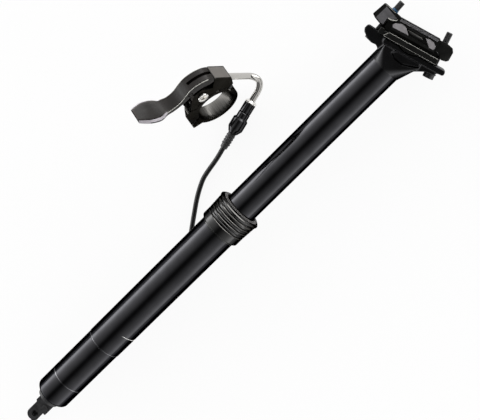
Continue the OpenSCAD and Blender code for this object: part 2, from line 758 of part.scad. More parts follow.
// Smooth curve through given points, in n steps from each to the next
function curved(p, n = 4) = concat(
    [for (i = [0 : len(p) - 2], k = [0 : n - 1])
        let (a = p[max(i - 1, 0)], b = p[i], c = p[i + 1], d = p[min(i + 2, len(p) - 1)], t = k / n)
        0.5 * (2 * b + (c - a) * t + (2 * a - 5 * b + 4 * c - d) * t * t + (3 * (b - c) - a + d) * pow(t, 3))],
    [p[len(p) - 1]]);
function normal(p, i) =
    let (t = unit(p[min(i + 1, len(p) - 1)] - p[max(i - 1, 0)])) [-t.y, t.x];
function strip(p, t) = concat(p, [for (i = [len(p) - 1 : -1 : 0]) p[i] + normal(p, i) * t]);
hub_web = [[-11, 30], [-17, 37], [-9, 42], [0, 42.5], [8, 38.5], [7.6, 33.6], [4, 29]];
skirt = [
    [9.9, 37.6], [5, 41], [-4, 42.5], [-13, 40], [-20, 35.5], [-28, 34], [-29, 31.6], [-19, 32],
    [-13, 33.8], [-7, 35.6], [0, 35.4], [5.4, 33.2], [8.8, 33.8]
];
module paddle() {
    hull() {
        translate(paddle_top[0] - [0.6, 1.8]) rotate(-33) cube([0.5, paddle_t, lever_w], center = true);
        translate(paddle_top[2] - [0.8, 1.8]) rotate(-33) cube([10, paddle_t, 20], center = true);
    }
    hull() {
        translate(paddle_top[2] - [0.8, 1.8]) rotate(-33) cube([10, paddle_t, 20], center = true);
        translate(paddle_top[3] - [0, 1.8]) rotate(-33) cube([1, paddle_t, 13.4], center = true);
    }
}
module remote_lever() {
    color("#3a3836") in_remote() difference() {
        union() {
            difference() {
                union() {
                    slab(lever_w, strip(curved(lever_top), arm_t));
                    slab(lever_w, skirt);
                }
                translate(pivot_at) rod(lever_w + 2, cheek_r);
            }
            slab(hub_w, hub_web);
            translate(pivot_at) rod(hub_w, hub_r);
            paddle();
        }
        translate(pivot_at) {
            rod(hub_w + 2, pivot_bush_r + run_fit);
            translate([0, 0, -hub_half - 1])
                cylinder(h = spring_len + 1 + body_gap, r = spring_r[1] + body_gap);
        }
        slab(2.6, [[-8.5, 39.5], [-8.5, 50], [20, 50], [20, 30], [8.4, 30], [6, 36.5]]);
        translate([-11, 37.4, 0]) cylinder(h = lever_w, r = 1.7);
    }
}
module cable_screw() {
    color("#4a4a4d") in_remote() translate([-11, 37.4, 0]) difference() {
        cylinder(h = lever_half - 1.2, r = 1.7);
        translate([0, 0, lever_half - 2.6]) cylinder(h = 3, r = 0.8, $fn = 6);
    }
}

// Noodle and cable adjuster
function bezier(a, b, c, d, t) =
    pow(1 - t, 3) * a + 3 * t * pow(1 - t, 2) * b + 3 * t * t * (1 - t) * c + pow(t, 3) * d;
noodle_end = adjuster_at;
noodle_leg = [[90.84, 81.75, 13], [96.2, 75.8, 0.3], [101.48, 69.83, -12.4]];
noodle_bend = [[103.6, 67.4, -17.5], [109.4, 59.1, noodle_end.z], [95, 55.8, noodle_end.z]];
noodle_route = concat(noodle_leg,
    [for (i = [1 : 12]) bezier(noodle_leg[2], noodle_bend[0], noodle_bend[1], noodle_bend[2], i / 12)],
    [noodle_end]);
module noodle() {
    color("#d4d2ce") swept(noodle_route, noodle_r - 0.03, 16);
}
module noodle_flange() {
    color("#dcdad6") on_adjuster() difference() {
        union() {
            cylinder(h = flange_t, r = barrel_d / 2 + 0.9);
            translate([0, 0, -1]) cylinder(h = 1, r1 = noodle_r + 0.9, r2 = barrel_d / 2 + 0.4);
        }
        translate([0, 0, -2]) cylinder(h = 2, r = noodle_r);
    }
}
module adjuster_barrel() {
    color("#101012") {
        on_adjuster(flange_t) cylinder(h = barrel_len - flange_t, r = barrel_d / 2);
        on_adjuster(barrel_len) cylinder(h = knob_len, r = stud_r);
    }
}
module adjuster_knob() {
    l = knob_len - 2 * body_gap;
    color("#0e0e10") on_adjuster(barrel_len + body_gap) difference() {
        union() {
            cylinder(h = 1.4, r1 = barrel_d / 2 + 1, r2 = knob_d / 2);
            translate([0, 0, 1.4]) cylinder(h = l - 5.4, r = knob_d / 2);
            translate([0, 0, l - 4]) cylinder(h = 4, r1 = knob_d / 2, r2 = housing_r + 1.8);
        }
        translate([0, 0, -1]) cylinder(h = knob_len + 2, r = stud_r + run_fit);
    }
}
module housing_ferrule() {
    color("#3b3b3d") on_adjuster(barrel_len + knob_len) difference() {
        union() {
            cylinder(h = ferrule_len, r1 = housing_r + 1.4, r2 = housing_r + 0.9);
            for (i = [0 : 3]) translate([0, 0, 2 + i * 2.4]) cylinder(h = 1.2, r = housing_r + 1.6);
        }
        translate([0, 0, ferrule_len - 1]) cylinder(h = 2, r = housing_r);
    }
}

// Cable housing
module cable_run() {
    color("#141414") swept(run_route, housing_r, 10);
}
function coil_point(i) =
    let (turn = i / coil_steps, back = turn - coil_low_turns,
         r = coil_turn_r + coil_pitch * abs(back),
         a = 90 + 360 * turn,
         lift = min(max(back / 0.5 + 0.5, 0), 1))
    [coil_at.x + r * cos(a), coil_at.y + r * sin(a), coil_z + lift * coil_pitch];
coil_turns = [for (i = [0 : coil_count]) coil_point(i)];
coil_last = coil_turns[coil_count];
coil_exit = unit([coil_last.x - coil_turns[coil_count - 1].x, coil_last.y - coil_turns[coil_count - 1].y, 0]);
coil_end = coil_last + coil_exit * housing_d;
coil_route = concat([coil_start], coil_turns, [coil_end]);
coil_gap = min([for (i = [0 : coil_count], j = [i + 8 : 1 : coil_count]) norm(coil_turns[i] - coil_turns[j])])
    - housing_d;
echo(coil_least_gap = coil_gap);
module cable_coil() {
    color("#141414") swept(coil_route, housing_r, coil_sides);
}
module coil_tie() {
    inner = coil_turn_r - housing_r - tie_gap - 0.6;
    outer = coil_out_r + housing_r + tie_gap;
    high = coil_z + coil_pitch + housing_r + tie_gap;
    low = floor_z + tie_t;
    color("#2c2c2e") translate([coil_at.x, coil_at.y, 0]) rotate(tie_turn) difference() {
        translate([inner - tie_t, -tie_w / 2, floor_z])
            cube([outer - inner + 2 * tie_t, tie_w, high + tie_t - floor_z]);
        translate([inner, -tie_w / 2 - 1, low]) cube([outer - inner, tie_w + 2, high - low]);
    }
}
end_turn = atan2(coil_exit.y, coil_exit.x);
module at_end(t) {
    translate(coil_end + coil_exit * t) rotate([0, 90, end_turn]) children();
}
module end_ferrule() {
    color("#3b3b3d") at_end(0) cylinder(h = end_len, r = housing_r + 0.35);
}
module cable_end() {
    color("#b9b9bd") {
        at_end(end_len) cylinder(h = wire_len, r = wire_r);
        at_end(end_len + wire_len) cylinder(h = nipple_len, r = nipple_r);
    }
}

outer_tube();
collar();
wiper_seal();
upper_bushing();
bottom_cap();
actuator_bracket();
actuator_pin();
cartridge_rod();
cartridge_piston();
rod_nut();
shaft_tube();
post_head();
lower_bushing();
guide_pins();
cartridge_cylinder();
cartridge_gland();
cartridge_plug();
clamp_bolts();
bolt_washers();
floating_piston();
lower_cradle();
upper_clamp();
barrel_nuts();
actuator_lever();
valve_pin();
remote_bracket();
pivot_bolt();
pivot_bush();
return_spring();
clamp_hinge_pin();
clamp_band();
clamp_bolt();
remote_lever();
cable_screw();
noodle();
noodle_flange();
adjuster_barrel();
adjuster_knob();
housing_ferrule();
cable_run();
cable_coil();
coil_tie();
end_ferrule();
cable_end();
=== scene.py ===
"""Looks of a dropper seatpost with its bar remote and cable, lying on a pale studio floor."""
import json
import math

import bmesh
import bpy
from mathutils import Euler, Matrix, Vector


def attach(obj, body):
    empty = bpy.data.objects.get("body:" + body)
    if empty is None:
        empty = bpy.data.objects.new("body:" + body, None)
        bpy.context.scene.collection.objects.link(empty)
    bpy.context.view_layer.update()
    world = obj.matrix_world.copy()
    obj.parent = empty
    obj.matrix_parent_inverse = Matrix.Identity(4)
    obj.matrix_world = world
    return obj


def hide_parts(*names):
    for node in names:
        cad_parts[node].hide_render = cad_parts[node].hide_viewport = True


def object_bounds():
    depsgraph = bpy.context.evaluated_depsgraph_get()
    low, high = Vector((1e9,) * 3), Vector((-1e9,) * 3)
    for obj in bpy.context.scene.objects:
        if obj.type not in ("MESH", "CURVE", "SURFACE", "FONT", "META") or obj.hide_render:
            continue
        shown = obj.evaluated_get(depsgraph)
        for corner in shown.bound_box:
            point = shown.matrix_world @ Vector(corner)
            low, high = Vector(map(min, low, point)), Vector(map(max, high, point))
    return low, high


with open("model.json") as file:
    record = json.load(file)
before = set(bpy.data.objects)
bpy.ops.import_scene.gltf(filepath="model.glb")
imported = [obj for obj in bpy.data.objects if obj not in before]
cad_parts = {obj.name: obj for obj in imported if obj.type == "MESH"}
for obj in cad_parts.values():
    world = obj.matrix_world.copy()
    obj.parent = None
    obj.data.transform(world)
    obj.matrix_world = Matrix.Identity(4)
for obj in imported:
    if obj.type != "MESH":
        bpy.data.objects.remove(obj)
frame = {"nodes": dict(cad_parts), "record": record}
cad_low, cad_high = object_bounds()
NODES = frame["nodes"]
FLOOR = cad_low.z
MM = 0.001
# Points of a mesh nearer than this, in metres, are one
WELD = 2e-6
# Facets round the large turned pieces
FINE = 192


# Frames of the assembly: each turns millimetres along a piece's own axes into metres of the whole
def axes_at(origin, x, y, z):
    m = Matrix.Identity(4)
    for column, axis in enumerate((x, y, z)):
        for row in range(3):
            m[row][column] = axis[row] * MM
    for row in range(3):
        m[row][3] = origin[row] * MM
    return m


def turned(origin, euler):
    turn = Euler([math.radians(a) for a in euler]).to_matrix()
    return axes_at(origin, turn.col[0], turn.col[1], turn.col[2])


RAIL_X = 208.4
RAIL_ANGLE = math.radians(74)
ADJUSTER_AT = (88, 54.2, -19.6)
ADJUSTER_TURN = 193
WHOLE = Matrix.Scale(MM, 4)
POST = axes_at((0, 0, 0), (0, 0, -1), (0, 1, 0), (1, 0, 0))
CLAMP = axes_at((RAIL_X, 0, 0), (math.cos(RAIL_ANGLE), -math.sin(RAIL_ANGLE), 0),
                (math.sin(RAIL_ANGLE), math.cos(RAIL_ANGLE), 0), (0, 0, 1))
REMOTE = turned((69.5, 76.4, -5), (66, 12, -10))
ADJUSTER = turned(ADJUSTER_AT, (0, 90, ADJUSTER_TURN))

# Camera, in metres: above the post, a little towards the saddle end, rolled so that the post climbs to
# the right
AIM = Vector((0.026, 0, 0))
DISTANCE = 0.816
TILT = math.radians(14.5)
ROLL = math.radians(44.56)
SENSOR_WIDTH = 36
FOCAL_LENGTH = 77.7
# Width of the picture and its shift, in pixels
VIEW_WIDTH = 480
VIEW_SHIFT = (-1.0, -1.8)
along = Vector((math.cos(TILT), 0, -math.sin(TILT)))
across = Vector((0, 1, 0))
toward = Vector((math.sin(TILT), 0, math.cos(TILT)))
right = math.cos(ROLL) * along - math.sin(ROLL) * across
up = math.sin(ROLL) * along + math.cos(ROLL) * across
lens = bpy.data.cameras.new("camera")
lens.sensor_width = SENSOR_WIDTH
lens.lens = FOCAL_LENGTH
lens.shift_x = VIEW_SHIFT[0] / VIEW_WIDTH
lens.shift_y = VIEW_SHIFT[1] / VIEW_WIDTH
camera = bpy.data.objects.new("camera", lens)
bpy.context.collection.objects.link(camera)
camera_place = Matrix.Identity(4)
for column, axis in enumerate((right, up, toward, AIM + DISTANCE * toward)):
    for row in range(3):
        camera_place[row][column] = axis[row]
camera.matrix_world = camera_place
bpy.context.scene.camera = camera
bpy.context.scene.view_settings.view_transform = "Standard"


# Materials, all from nodes
def linear(*rgb):
    """Colour as it shows on a screen, 0 to 255, as the linear values that shaders take."""
    out = []
    for v in rgb:
        c = v / 255
        out.append(c / 12.92 if c <= 0.04045 else ((c + 0.055) / 1.055) ** 2.4)
    return (*out, 1)


class Shader:
    """A Principled material with helpers that add texture nodes to it."""

    def __init__(self, name, colour, rough, metal=0.0, specular=0.5):
        self.material = bpy.data.materials.new(name)
        self.material.use_nodes = True
        self.tree = self.material.node_tree
        self.surface = self.tree.nodes["Principled BSDF"]
        self.surface.inputs["Base Color"].default_value = linear(*colour)
        self.surface.inputs["Roughness"].default_value = rough
        self.surface.inputs["Metallic"].default_value = metal
        self.surface.inputs["Specular IOR Level"].default_value = specular
        self.place = self.node("ShaderNodeTexCoord").outputs["Object"]
        self.height = None

    def node(self, kind, **sockets):
        made = self.tree.nodes.new(kind)
        for key, value in sockets.items():
            made.inputs[key.replace("_", " ")].default_value = value
        return made

    def link(self, source, target):
        self.tree.links.new(source, target)

    def noise(self, scale, stretch=(1, 1, 1), detail=3.0):
        """Noise over the piece, with scale in grains per metre along each axis."""
        mapping = self.node("ShaderNodeMapping", Scale=Vector(stretch) * scale)
        self.link(self.place, mapping.inputs["Vector"])
        noise = self.node("ShaderNodeTexNoise", Scale=1.0, Detail=detail)
        self.link(mapping.outputs["Vector"], noise.inputs["Vector"])
        return noise.outputs["Fac"]

    def vary_rough(self, value, low, high):
        """Roughness from low to high over the middle of a noise."""
        spread = self.node("ShaderNodeMapRange", From_Min=0.3, From_Max=0.7, To_Min=low, To_Max=high)
        self.link(value, spread.inputs["Value"])
        self.link(spread.outputs["Result"], self.surface.inputs["Roughness"])

    def vary_colour(self, value, colour, darker, lighter):
        """The colour, less and more by some steps of 255, over the middle of a noise."""
        ramp = self.node("ShaderNodeValToRGB")
        dark, light = ramp.color_ramp.elements
        dark.position, light.position = 0.35, 0.65
        dark.color = linear(*[c - darker for c in colour])
        light.color = linear(*[c + lighter for c in colour])
        self.link(value, ramp.inputs["Fac"])
        self.link(ramp.outputs["Color"], self.surface.inputs["Base Color"])

    def bump(self, value, depth, strength):
        """Raise the surface by the value times a depth in millimetres."""
        bump = self.node("ShaderNodeBump", Strength=strength, Distance=depth * MM)
        self.link(value, bump.inputs["Height"])
        if self.height:
            self.link(self.height, bump.inputs["Normal"])
        self.height = bump.outputs["Normal"]
        self.link(self.height, self.surface.inputs["Normal"])


def anodised(name, sheen, rough, grain=(1, 1, 1)):
    """Black anodised aluminium: a dark satin mirror without glare along its edges, with faint tool lines."""
    s = Shader(name, sheen, rough, 1.0)
    s.surface.inputs["Specular Tint"].default_value = (0, 0, 0, 1)
    s.vary_colour(s.noise(90, detail=4), sheen, 2, 3)
    s.vary_rough(s.noise(160, grain), rough - 0.02, rough + 0.03)
    s.bump(s.noise(5000), 0.003, 0.2)
    s.bump(s.noise(900, grain), 0.003, 0.2)
    return s.material


TUBE_BLACK = anodised("tube_black", (54, 54, 56), 0.13, (6, 0.2, 0.2))
COLLAR_BLACK = anodised("collar_black", (58, 58, 58), 0.16, (8, 0.2, 0.2))
CLAMP_BLACK = anodised("clamp_black", (52, 52, 51), 0.32)
FORGED_BLACK = anodised("forged_black", (56, 56, 57), 0.24)
REMOTE_BLACK = anodised("remote_black", (70, 69, 67), 0.24)
KNOB_BLACK = anodised("knob_black", (56, 56, 57), 0.2)
# Darker black for the paddle's rim, painted shade where its top rolls off; also used round the cable screw's
# hole
LEVER_RIM = anodised("lever_rim", (40, 38, 37), 0.3)
CUT_EDGE = anodised("cut_edge", (108, 108, 110), 0.13)
RIM_EDGE = anodised("rim_edge", (78, 77, 75), 0.18)
LINE_EDGE = anodised("line_edge", (112, 112, 114), 0.2)


def brushed(name, colour, rough):
    """Bare metal with fine polishing marks."""
    s = Shader(name, colour, rough, 1.0)
    s.vary_rough(s.noise(700), rough - 0.05, rough + 0.06)
    s.bump(s.noise(2600), 0.003, 0.3)
    return s.material


STEEL = brushed("steel", (176, 176, 178), 0.26)
SILVER = brushed("silver", (226, 224, 220), 0.16)
BRASS = brushed("brass", (186, 148, 78), 0.3)
# Light grey that shows bright under any light: painted highlights along edges of the clamp and the lever
HIGHLIGHT_GREY = brushed("painted_highlight_grey", (158, 157, 152), 0.42)


def polished(name, colour, rough):
    """Drawn metal with hardly a mark on it."""
    s = Shader(name, colour, rough, 1.0)
    s.vary_rough(s.noise(300), rough - 0.02, rough + 0.04)
    return s.material


POLISHED = polished("polished", (190, 188, 184), 0.12)


def blasted(name, colour, rough=0.55):
    """Blasted aluminium: dull and evenly grained."""
    s = Shader(name, colour, rough, 0.35, 0.4)
    s.vary_colour(s.noise(240, detail=5), colour, 8, 8)
    s.vary_rough(s.noise(500), rough - 0.08, rough + 0.08)
    s.bump(s.noise(4200), 0.012, 0.5)
    return s.material


BLASTED_GREY = blasted("blasted_grey", (130, 127, 129))
EAR_GREY = blasted("ear_grey", (90, 89, 91))
TOOTH_GREY = blasted("tooth_grey", (108, 107, 109))
BAR_GREY = blasted("bar_grey", (60, 59, 60))
ACTUATOR_GREY = blasted("actuator_grey", (46, 46, 47), 0.45)
LEVER_BEVEL = blasted("lever_bevel", (152, 148, 153), 0.4)


def satin(name, colour, rough, specular):
    """Dark painted metal with a soft sheen that grows at low angles."""
    s = Shader(name, colour, rough, 0.0, specular)
    s.vary_colour(s.noise(120, detail=4), colour, 3, 4)
    s.vary_rough(s.noise(420, (1, 4, 1)), rough - 0.04, rough + 0.05)
    s.bump(s.noise(2600), 0.004, 0.25)
    return s.material


LEVER_FINISH = satin("lever_finish", (21, 18, 16), 0.3, 0.16)
# Lighter brown-grey for the top of the remote bracket's block: painted light on that face
BLOCK_TOP_LIGHT = satin("block_top_painted_light", (74, 70, 66), 0.34, 0.5)
THREADLOCK = satin("threadlock", (24, 66, 96), 0.5, 0.4)


def plastic(name, colour, rough, specular):
    """Moulded plastic, rubber or coated steel with a fine texture."""
    s = Shader(name, colour, rough, 0.0, specular)
    s.vary_rough(s.noise(220), rough - 0.05, rough + 0.06)
    s.bump(s.noise(3800), 0.01, 0.3)
    return s.material


RUBBER = plastic("rubber", (12, 12, 12), 0.6, 0.3)
BLACK_STEEL = plastic("black_steel", (16, 16, 17), 0.36, 0.4)
HOUSING = plastic("housing", (13, 13, 13), 0.4, 0.35)
FERRULE = plastic("ferrule", (44, 44, 44), 0.4, 0.4)
WIPER_GREY = plastic("wiper_grey", (66, 64, 63), 0.5, 0.4)
LINE_WHITE = plastic("line_white", (214, 213, 210), 0.5, 0.4)
BEARING = plastic("bearing", (96, 84, 58), 0.5, 0.4)

BY_SLOT = {
    "black_anodised": TUBE_BLACK, "collar_black": COLLAR_BLACK, "clamp_black": CLAMP_BLACK,
    "lever_grey": LEVER_FINISH, "black_steel": BLACK_STEEL, "steel": STEEL, "silver": SILVER, "brass": BRASS,
    "bearing": BEARING, "rubber": RUBBER, "black_plastic": KNOB_BLACK, "housing": HOUSING, "ferrule": FERRULE,
}


# Solids that stay as the CAD has them
def dress(node, material):
    """Give a CAD node its finish."""
    for slot in NODES[node].material_slots:
        slot.material = material


def keep(node, material, width, segments=2):
    """A CAD node that stays, with its finish and its edges softened.

    Flat faces are joined first, so that only true edges are cut.
    """
    dress(node, material)
    solid = NODES[node]
    weld = solid.modifiers.new("weld", "WELD")
    weld.merge_threshold = WELD
    flat = solid.modifiers.new("flat", "DECIMATE")
    flat.decimate_type = "DISSOLVE"
    flat.angle_limit = math.radians(0.6)
    bevel = solid.modifiers.new("edges", "BEVEL")
    bevel.width = width * MM
    bevel.segments = segments
    bevel.limit_method = "ANGLE"
    bevel.angle_limit = math.radians(28)
    bevel.harden_normals = True


# Shapes, as lists of points and faces
def piece(name, verts, faces, at, body, slot, material, covers=(), sharp=30):
    """A piece of the visual model on a body, from a shape in the frame given; it may cover CAD nodes."""
    mesh = bpy.data.meshes.new(name)
    mesh.from_pydata([at @ Vector(v) for v in verts], [], faces)
    work = bmesh.new()
    work.from_mesh(mesh)
    bmesh.ops.remove_doubles(work, verts=work.verts, dist=WELD)
    bmesh.ops.recalc_face_normals(work, faces=work.faces)
    work.to_mesh(mesh)
    work.free()
    mesh.shade_smooth()
    mesh.set_sharp_from_angle(angle=math.radians(sharp))
    mesh.materials.append(material)
    made = bpy.data.objects.new(name, mesh)
    bpy.context.collection.objects.link(made)
    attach(made, body)
    if covers:
        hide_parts(*covers)
    return made


def bands(rings, count, first=0, around=False):
    """Faces between neighbouring rings of points; around also joins the last ring to the first."""
    faces = []
    for i in range(rings if around else rings - 1):
        a, b = first + i * count, first + (i + 1) % rings * count
        for k in range(count):
            n = (k + 1) % count
            faces.append((a + k, a + n, b + n, b + k))
    return faces


def rings_of(profile, count):
    """Points of a profile of (radius, station) pairs turned about the z axis.

    A radius may be a function of the angle.
    """
    verts = []
    for r, z in profile:
        for k in range(count):
            a = 2 * math.pi * k / count
            reach = r(a) if callable(r) else r
            verts.append((reach * math.cos(a), reach * math.sin(a), z))
    return verts


def lathe(profile, count):
    """A closed profile turned about the z axis."""
    return rings_of(profile, count), bands(len(profile), count, around=True)


def lathe_open(profile, count):
    """A profile from the axis out and back to the axis, turned about the z axis."""
    return rings_of(profile, count), bands(len(profile), count)


def arc(centre, radius, start, end, steps):
    """Points of an arc in a profile, angles in degrees."""
    angles = [math.radians(start + (end - start) * k / steps) for k in range(steps + 1)]
    return [(centre[0] + radius * math.cos(a), centre[1] + radius * math.sin(a)) for a in angles]


def joined(*shapes):
    """Several shapes as one."""
    verts, faces = [], []
    for v, f in shapes:
        faces += [tuple(i + len(verts) for i in face) for face in f]
        verts += v
    return verts, faces


def moved(shape, m):
    """A shape put elsewhere."""
    return [m @ Vector(v) for v in shape[0]], shape[1]


def both_sides(shape):
    """A shape and its mirror image across the middle plane."""
    return joined(shape, ([(x, y, -z) for x, y, z in shape[0]], shape[1]))


def curve_through(points, steps):
    """Smooth curve through given points, in some steps from each to the next."""
    p = [Vector(q) for q in points]
    out = []
    for i in range(len(p) - 1):
        a, b, c, d = p[max(i - 1, 0)], p[i], p[i + 1], p[min(i + 2, len(p) - 1)]
        for k in range(steps):
            t = k / steps
            out.append(0.5 * (2 * b + (c - a) * t + (2 * a - 5 * b + 4 * c - d) * t * t
                              + (3 * (b - c) - a + d) * t ** 3))
    out.append(p[-1])
    return out


def tube(path, radius, sides=20):
    """A tube along a path, with closed ends. The radius is one value, or one for each point."""
    path = [Vector(p) for p in path]
    radii = radius if isinstance(radius, list) else [radius] * len(path)
    verts = []
    side = None
    for i, p in enumerate(path):
        way = (path[min(i + 1, len(path) - 1)] - path[max(i - 1, 0)]).normalized()
        if side is None:
            side = way.orthogonal().normalized()
        side = (side - way * side.dot(way)).normalized()
        other = way.cross(side)
        for k in range(sides):
            a = 2 * math.pi * k / sides
            verts.append(p + radii[i] * (side * math.cos(a) + other * math.sin(a)))
    faces = bands(len(path), sides)
    faces.append(tuple(reversed(range(sides))))
    faces.append(tuple((len(path) - 1) * sides + k for k in range(sides)))
    return verts, faces


def inset(outline, d):
    """An outline drawn in by d on every side."""
    p = [Vector(q) for q in outline]
    side = 1 if sum(p[i - 1].cross(p[i]) for i in range(len(p))) > 0 else -1
    out = []
    for i, q in enumerate(p):
        before = (q - p[i - 1]).normalized()
        after = (p[(i + 1) % len(p)] - q).normalized()
        n0 = side * Vector((-before.y, before.x))
        n1 = side * Vector((-after.y, after.x))
        out.append(q + (n0 + n1) * d / (1 + n0.dot(n1)))
    return out


def plate(outline, low, high, cut):
    """A plate from one height to another, with its edges cut back."""
    small = inset(outline, cut)
    rows = [(small, low), (outline, low + cut), (outline, high - cut), (small, high)]
    n = len(outline)
    verts = [(x, y, z) for ring, z in rows for x, y in ring]
    ends = [tuple(range(n)), tuple(reversed(range(3 * n, 4 * n)))]
    return verts, ends + bands(len(rows), n)


# Cable housing: the free run over the floor and under the tube, then the coil, as one tube
HOUSING_D = 4.0
HOUSING_FROM = 42.5
RUN_Z = -24.0
RUN_STEPS = 4
COIL_Z = -23.3
COIL_PITCH = 4.5
COIL_TURN_R = 15.5
COIL_LOW_TURNS = 3.75
COIL_RISE_TURNS = 0.5
COIL_TURNS = 6.5
COIL_STEPS = 48
adjuster_at = Vector(ADJUSTER_AT)
adjuster_way = Vector((math.cos(math.radians(ADJUSTER_TURN)), math.sin(math.radians(ADJUSTER_TURN)), 0))
run_route = [adjuster_at + HOUSING_FROM * adjuster_way, adjuster_at + (HOUSING_FROM + 4) * adjuster_way,
             (37, 42.5, -21.2), (30, 41.4, -23.2)]
run_route += [(x, y, RUN_Z) for x, y in (
    (22.5, 40.3), (14.5, 38.5), (5.8, 34.6), (-2.6, 29.8), (-10.6, 24.4), (-18.2, 19.2), (-26, 13.8),
    (-34.5, 8.6), (-44, 4.2), (-54.6, 1), (-66, -1.2), (-78, -2), (-90, -2), (-102, -2), (-114, -2),
    (-126, -2), (-138, -2), (-150, -2), (-162, -2), (-174, -2), (-186, -2), (-198, -2), (-210, -2.4),
    (-222, -3.2), (-234, -4), (-246, -4.6), (-258, -5))]
run_route += [(-268, -5, RUN_Z + 0.1), (-276, -5, RUN_Z + 0.4), (-284, -5, COIL_Z), (-290, -5, COIL_Z)]
coil_start = Vector(run_route[-1])
coil_out_r = COIL_TURN_R + COIL_LOW_TURNS * COIL_PITCH
coil_at = Vector((coil_start.x - HOUSING_D, coil_start.y - coil_out_r, 0))


def coil_point(turn):
    """The coil winds inwards on the floor, climbs by one pitch, and winds outwards on top of itself."""
    back = turn - COIL_LOW_TURNS
    r = COIL_TURN_R + COIL_PITCH * abs(back)
    a = math.radians(90 + 360 * turn)
    lift = min(max(back / COIL_RISE_TURNS + 0.5, 0), 1)
    lift = lift * lift * (3 - 2 * lift)
    return coil_at + Vector((r * math.cos(a), r * math.sin(a), COIL_Z + lift * COIL_PITCH))


coil = [coil_point(i / COIL_STEPS) for i in range(int(COIL_TURNS * COIL_STEPS) + 1)]
coil_exit = (coil[-1] - coil[-2]).normalized()
coil_end = coil[-1] + coil_exit * HOUSING_D
cable_path = curve_through(run_route, RUN_STEPS) + coil + [coil_end]
housing = piece("cable_housing", *tube(cable_path, HOUSING_D / 2), WHOLE, "base", "housing", HOUSING,
                ("cable_run", "cable_coil"))

# Floor that the camera and mirrors see as white, with the object's shadow kept
FLOOR_WHITE = 0.92
FLOOR_HALF = 4
FLOOR_GAP = 0.0002


def floor_material():
    s = Shader("floor", (235, 235, 235), 0.9, 0.0, 0.1)
    glow = s.node("ShaderNodeEmission", Strength=1.0)
    ray = s.node("ShaderNodeLightPath")

    def maths(operation, first):
        made = s.node("ShaderNodeMath")
        made.operation = operation
        s.link(first, made.inputs[0])
        return made

    seen = maths("MAXIMUM", ray.outputs["Is Camera Ray"])
    s.link(ray.outputs["Is Glossy Ray"], seen.inputs[1])
    seen = maths("MAXIMUM", seen.outputs[0])
    s.link(ray.outputs["Is Transmission Ray"], seen.inputs[1])
    share = maths("MULTIPLY", seen.outputs[0])
    share.inputs[1].default_value = FLOOR_WHITE
    mix = s.node("ShaderNodeMixShader")
    s.link(share.outputs[0], mix.inputs[0])
    s.link(s.surface.outputs[0], mix.inputs[1])
    s.link(glow.outputs[0], mix.inputs[2])
    s.link(mix.outputs[0], s.tree.nodes["Material Output"].inputs["Surface"])
    return s.material


floor_corners = [(FLOOR_HALF * x, FLOOR_HALF * y, FLOOR - FLOOR_GAP)
                 for x, y in ((-1, -1), (1, -1), (1, 1), (-1, 1))]
floor_mesh = bpy.data.meshes.new("floor")
floor_mesh.from_pydata(floor_corners, [], [(0, 1, 2, 3)])
floor_mesh.materials.append(floor_material())
floor = bpy.data.objects.new("floor", floor_mesh)
bpy.context.collection.objects.link(floor)

# Studio light: long softboxes on both sides, bright near the floor and fading to a dark ceiling, the left
# one brighter, as brightness by the angle above the floor
LIGHT_LEFT = ((0, 7.02), (12, 6.48), (22, 3.15), (36, 1.62), (49, 1.08), (61, 0.77), (73, 0.36), (84, 0.07))
LIGHT_RIGHT = ((0, 3.06), (12, 2.7), (22, 1.71), (36, 1.08), (49, 0.81), (61, 0.5), (73, 0.23), (84, 0.07))
LIGHT_TOP = 8.0
# Softbox beyond the saddle end: its brightness, and the angles from the post's axis where it starts to fade
# and where it ends
END_LIGHT = 7.0
END_ANGLE = (22, 36)


def grey(bright):
    return (*[bright / LIGHT_TOP] * 3, 1)


def studio_light():
    world = bpy.data.worlds.new("surround")
    world.use_nodes = True
    tree = world.node_tree
    add, link = tree.nodes.new, tree.links.new
    way = add("ShaderNodeSeparateXYZ")
    link(add("ShaderNodeTexCoord").outputs["Generated"], way.inputs[0])
    lean = add("ShaderNodeMath")
    lean.operation = "ARCTAN2"
    link(way.outputs["Y"], lean.inputs[0])
    link(way.outputs["Z"], lean.inputs[1])
    share = add("ShaderNodeMapRange")
    share.inputs["From Min"].default_value = -math.pi / 2
    share.inputs["From Max"].default_value = math.pi / 2
    link(lean.outputs[0], share.inputs["Value"])
    ramp = add("ShaderNodeValToRGB")
    stops = ramp.color_ramp.elements
    stops.remove(stops[1])
    stops[0].position = 0.0
    stops[0].color = grey(LIGHT_RIGHT[0][1])
    for height, bright in LIGHT_RIGHT[1:]:
        stops.new(height / 180).color = grey(bright)
    for height, bright in reversed(LIGHT_LEFT):
        stops.new(1 - height / 180).color = grey(bright)
    link(share.outputs[0], ramp.inputs["Fac"])
    end_share = add("ShaderNodeMapRange")
    end_share.interpolation_type = "SMOOTHSTEP"
    end_share.inputs["From Min"].default_value = math.cos(math.radians(END_ANGLE[1]))
    end_share.inputs["From Max"].default_value = math.cos(math.radians(END_ANGLE[0]))
    link(way.outputs["X"], end_share.inputs["Value"])
    glow = add("ShaderNodeMix")
    glow.data_type = "RGBA"
    link(end_share.outputs[0], glow.inputs["Factor"])
    link(ramp.outputs["Color"], glow.inputs["A"])
    glow.inputs["B"].default_value = grey(END_LIGHT)
    link(glow.outputs["Result"], tree.nodes["Background"].inputs["Color"])
    tree.nodes["Background"].inputs["Strength"].default_value = LIGHT_TOP
    return world


bpy.context.scene.world = studio_light()

for entry in frame["record"]["subparts"]:
    dress(entry["node"], BY_SLOT[entry["material_slot"]])

# Outer tube, shaft and cap, turned about the post's axis
TUBE_R = 15.8
RELIEF_R = 15.5
BORE_R = 14.3
TUBE_LEN = 183.0
FIT_LEN = 137.0
SHAFT_R = 13.5
SHAFT_BORE_R = 11.5
SHAFT_OUT = 181.0
SHAFT_IN = 26.0
CAP_FROM = -205.0
CAP_WALL = 5
CAP_HOLE_R = 2.5
CAP_ROOM_R = 8
CAP_ROOM_TOP = 9
CAP_MOUTH_R = 12.3
CAP_ROUND = 3.5

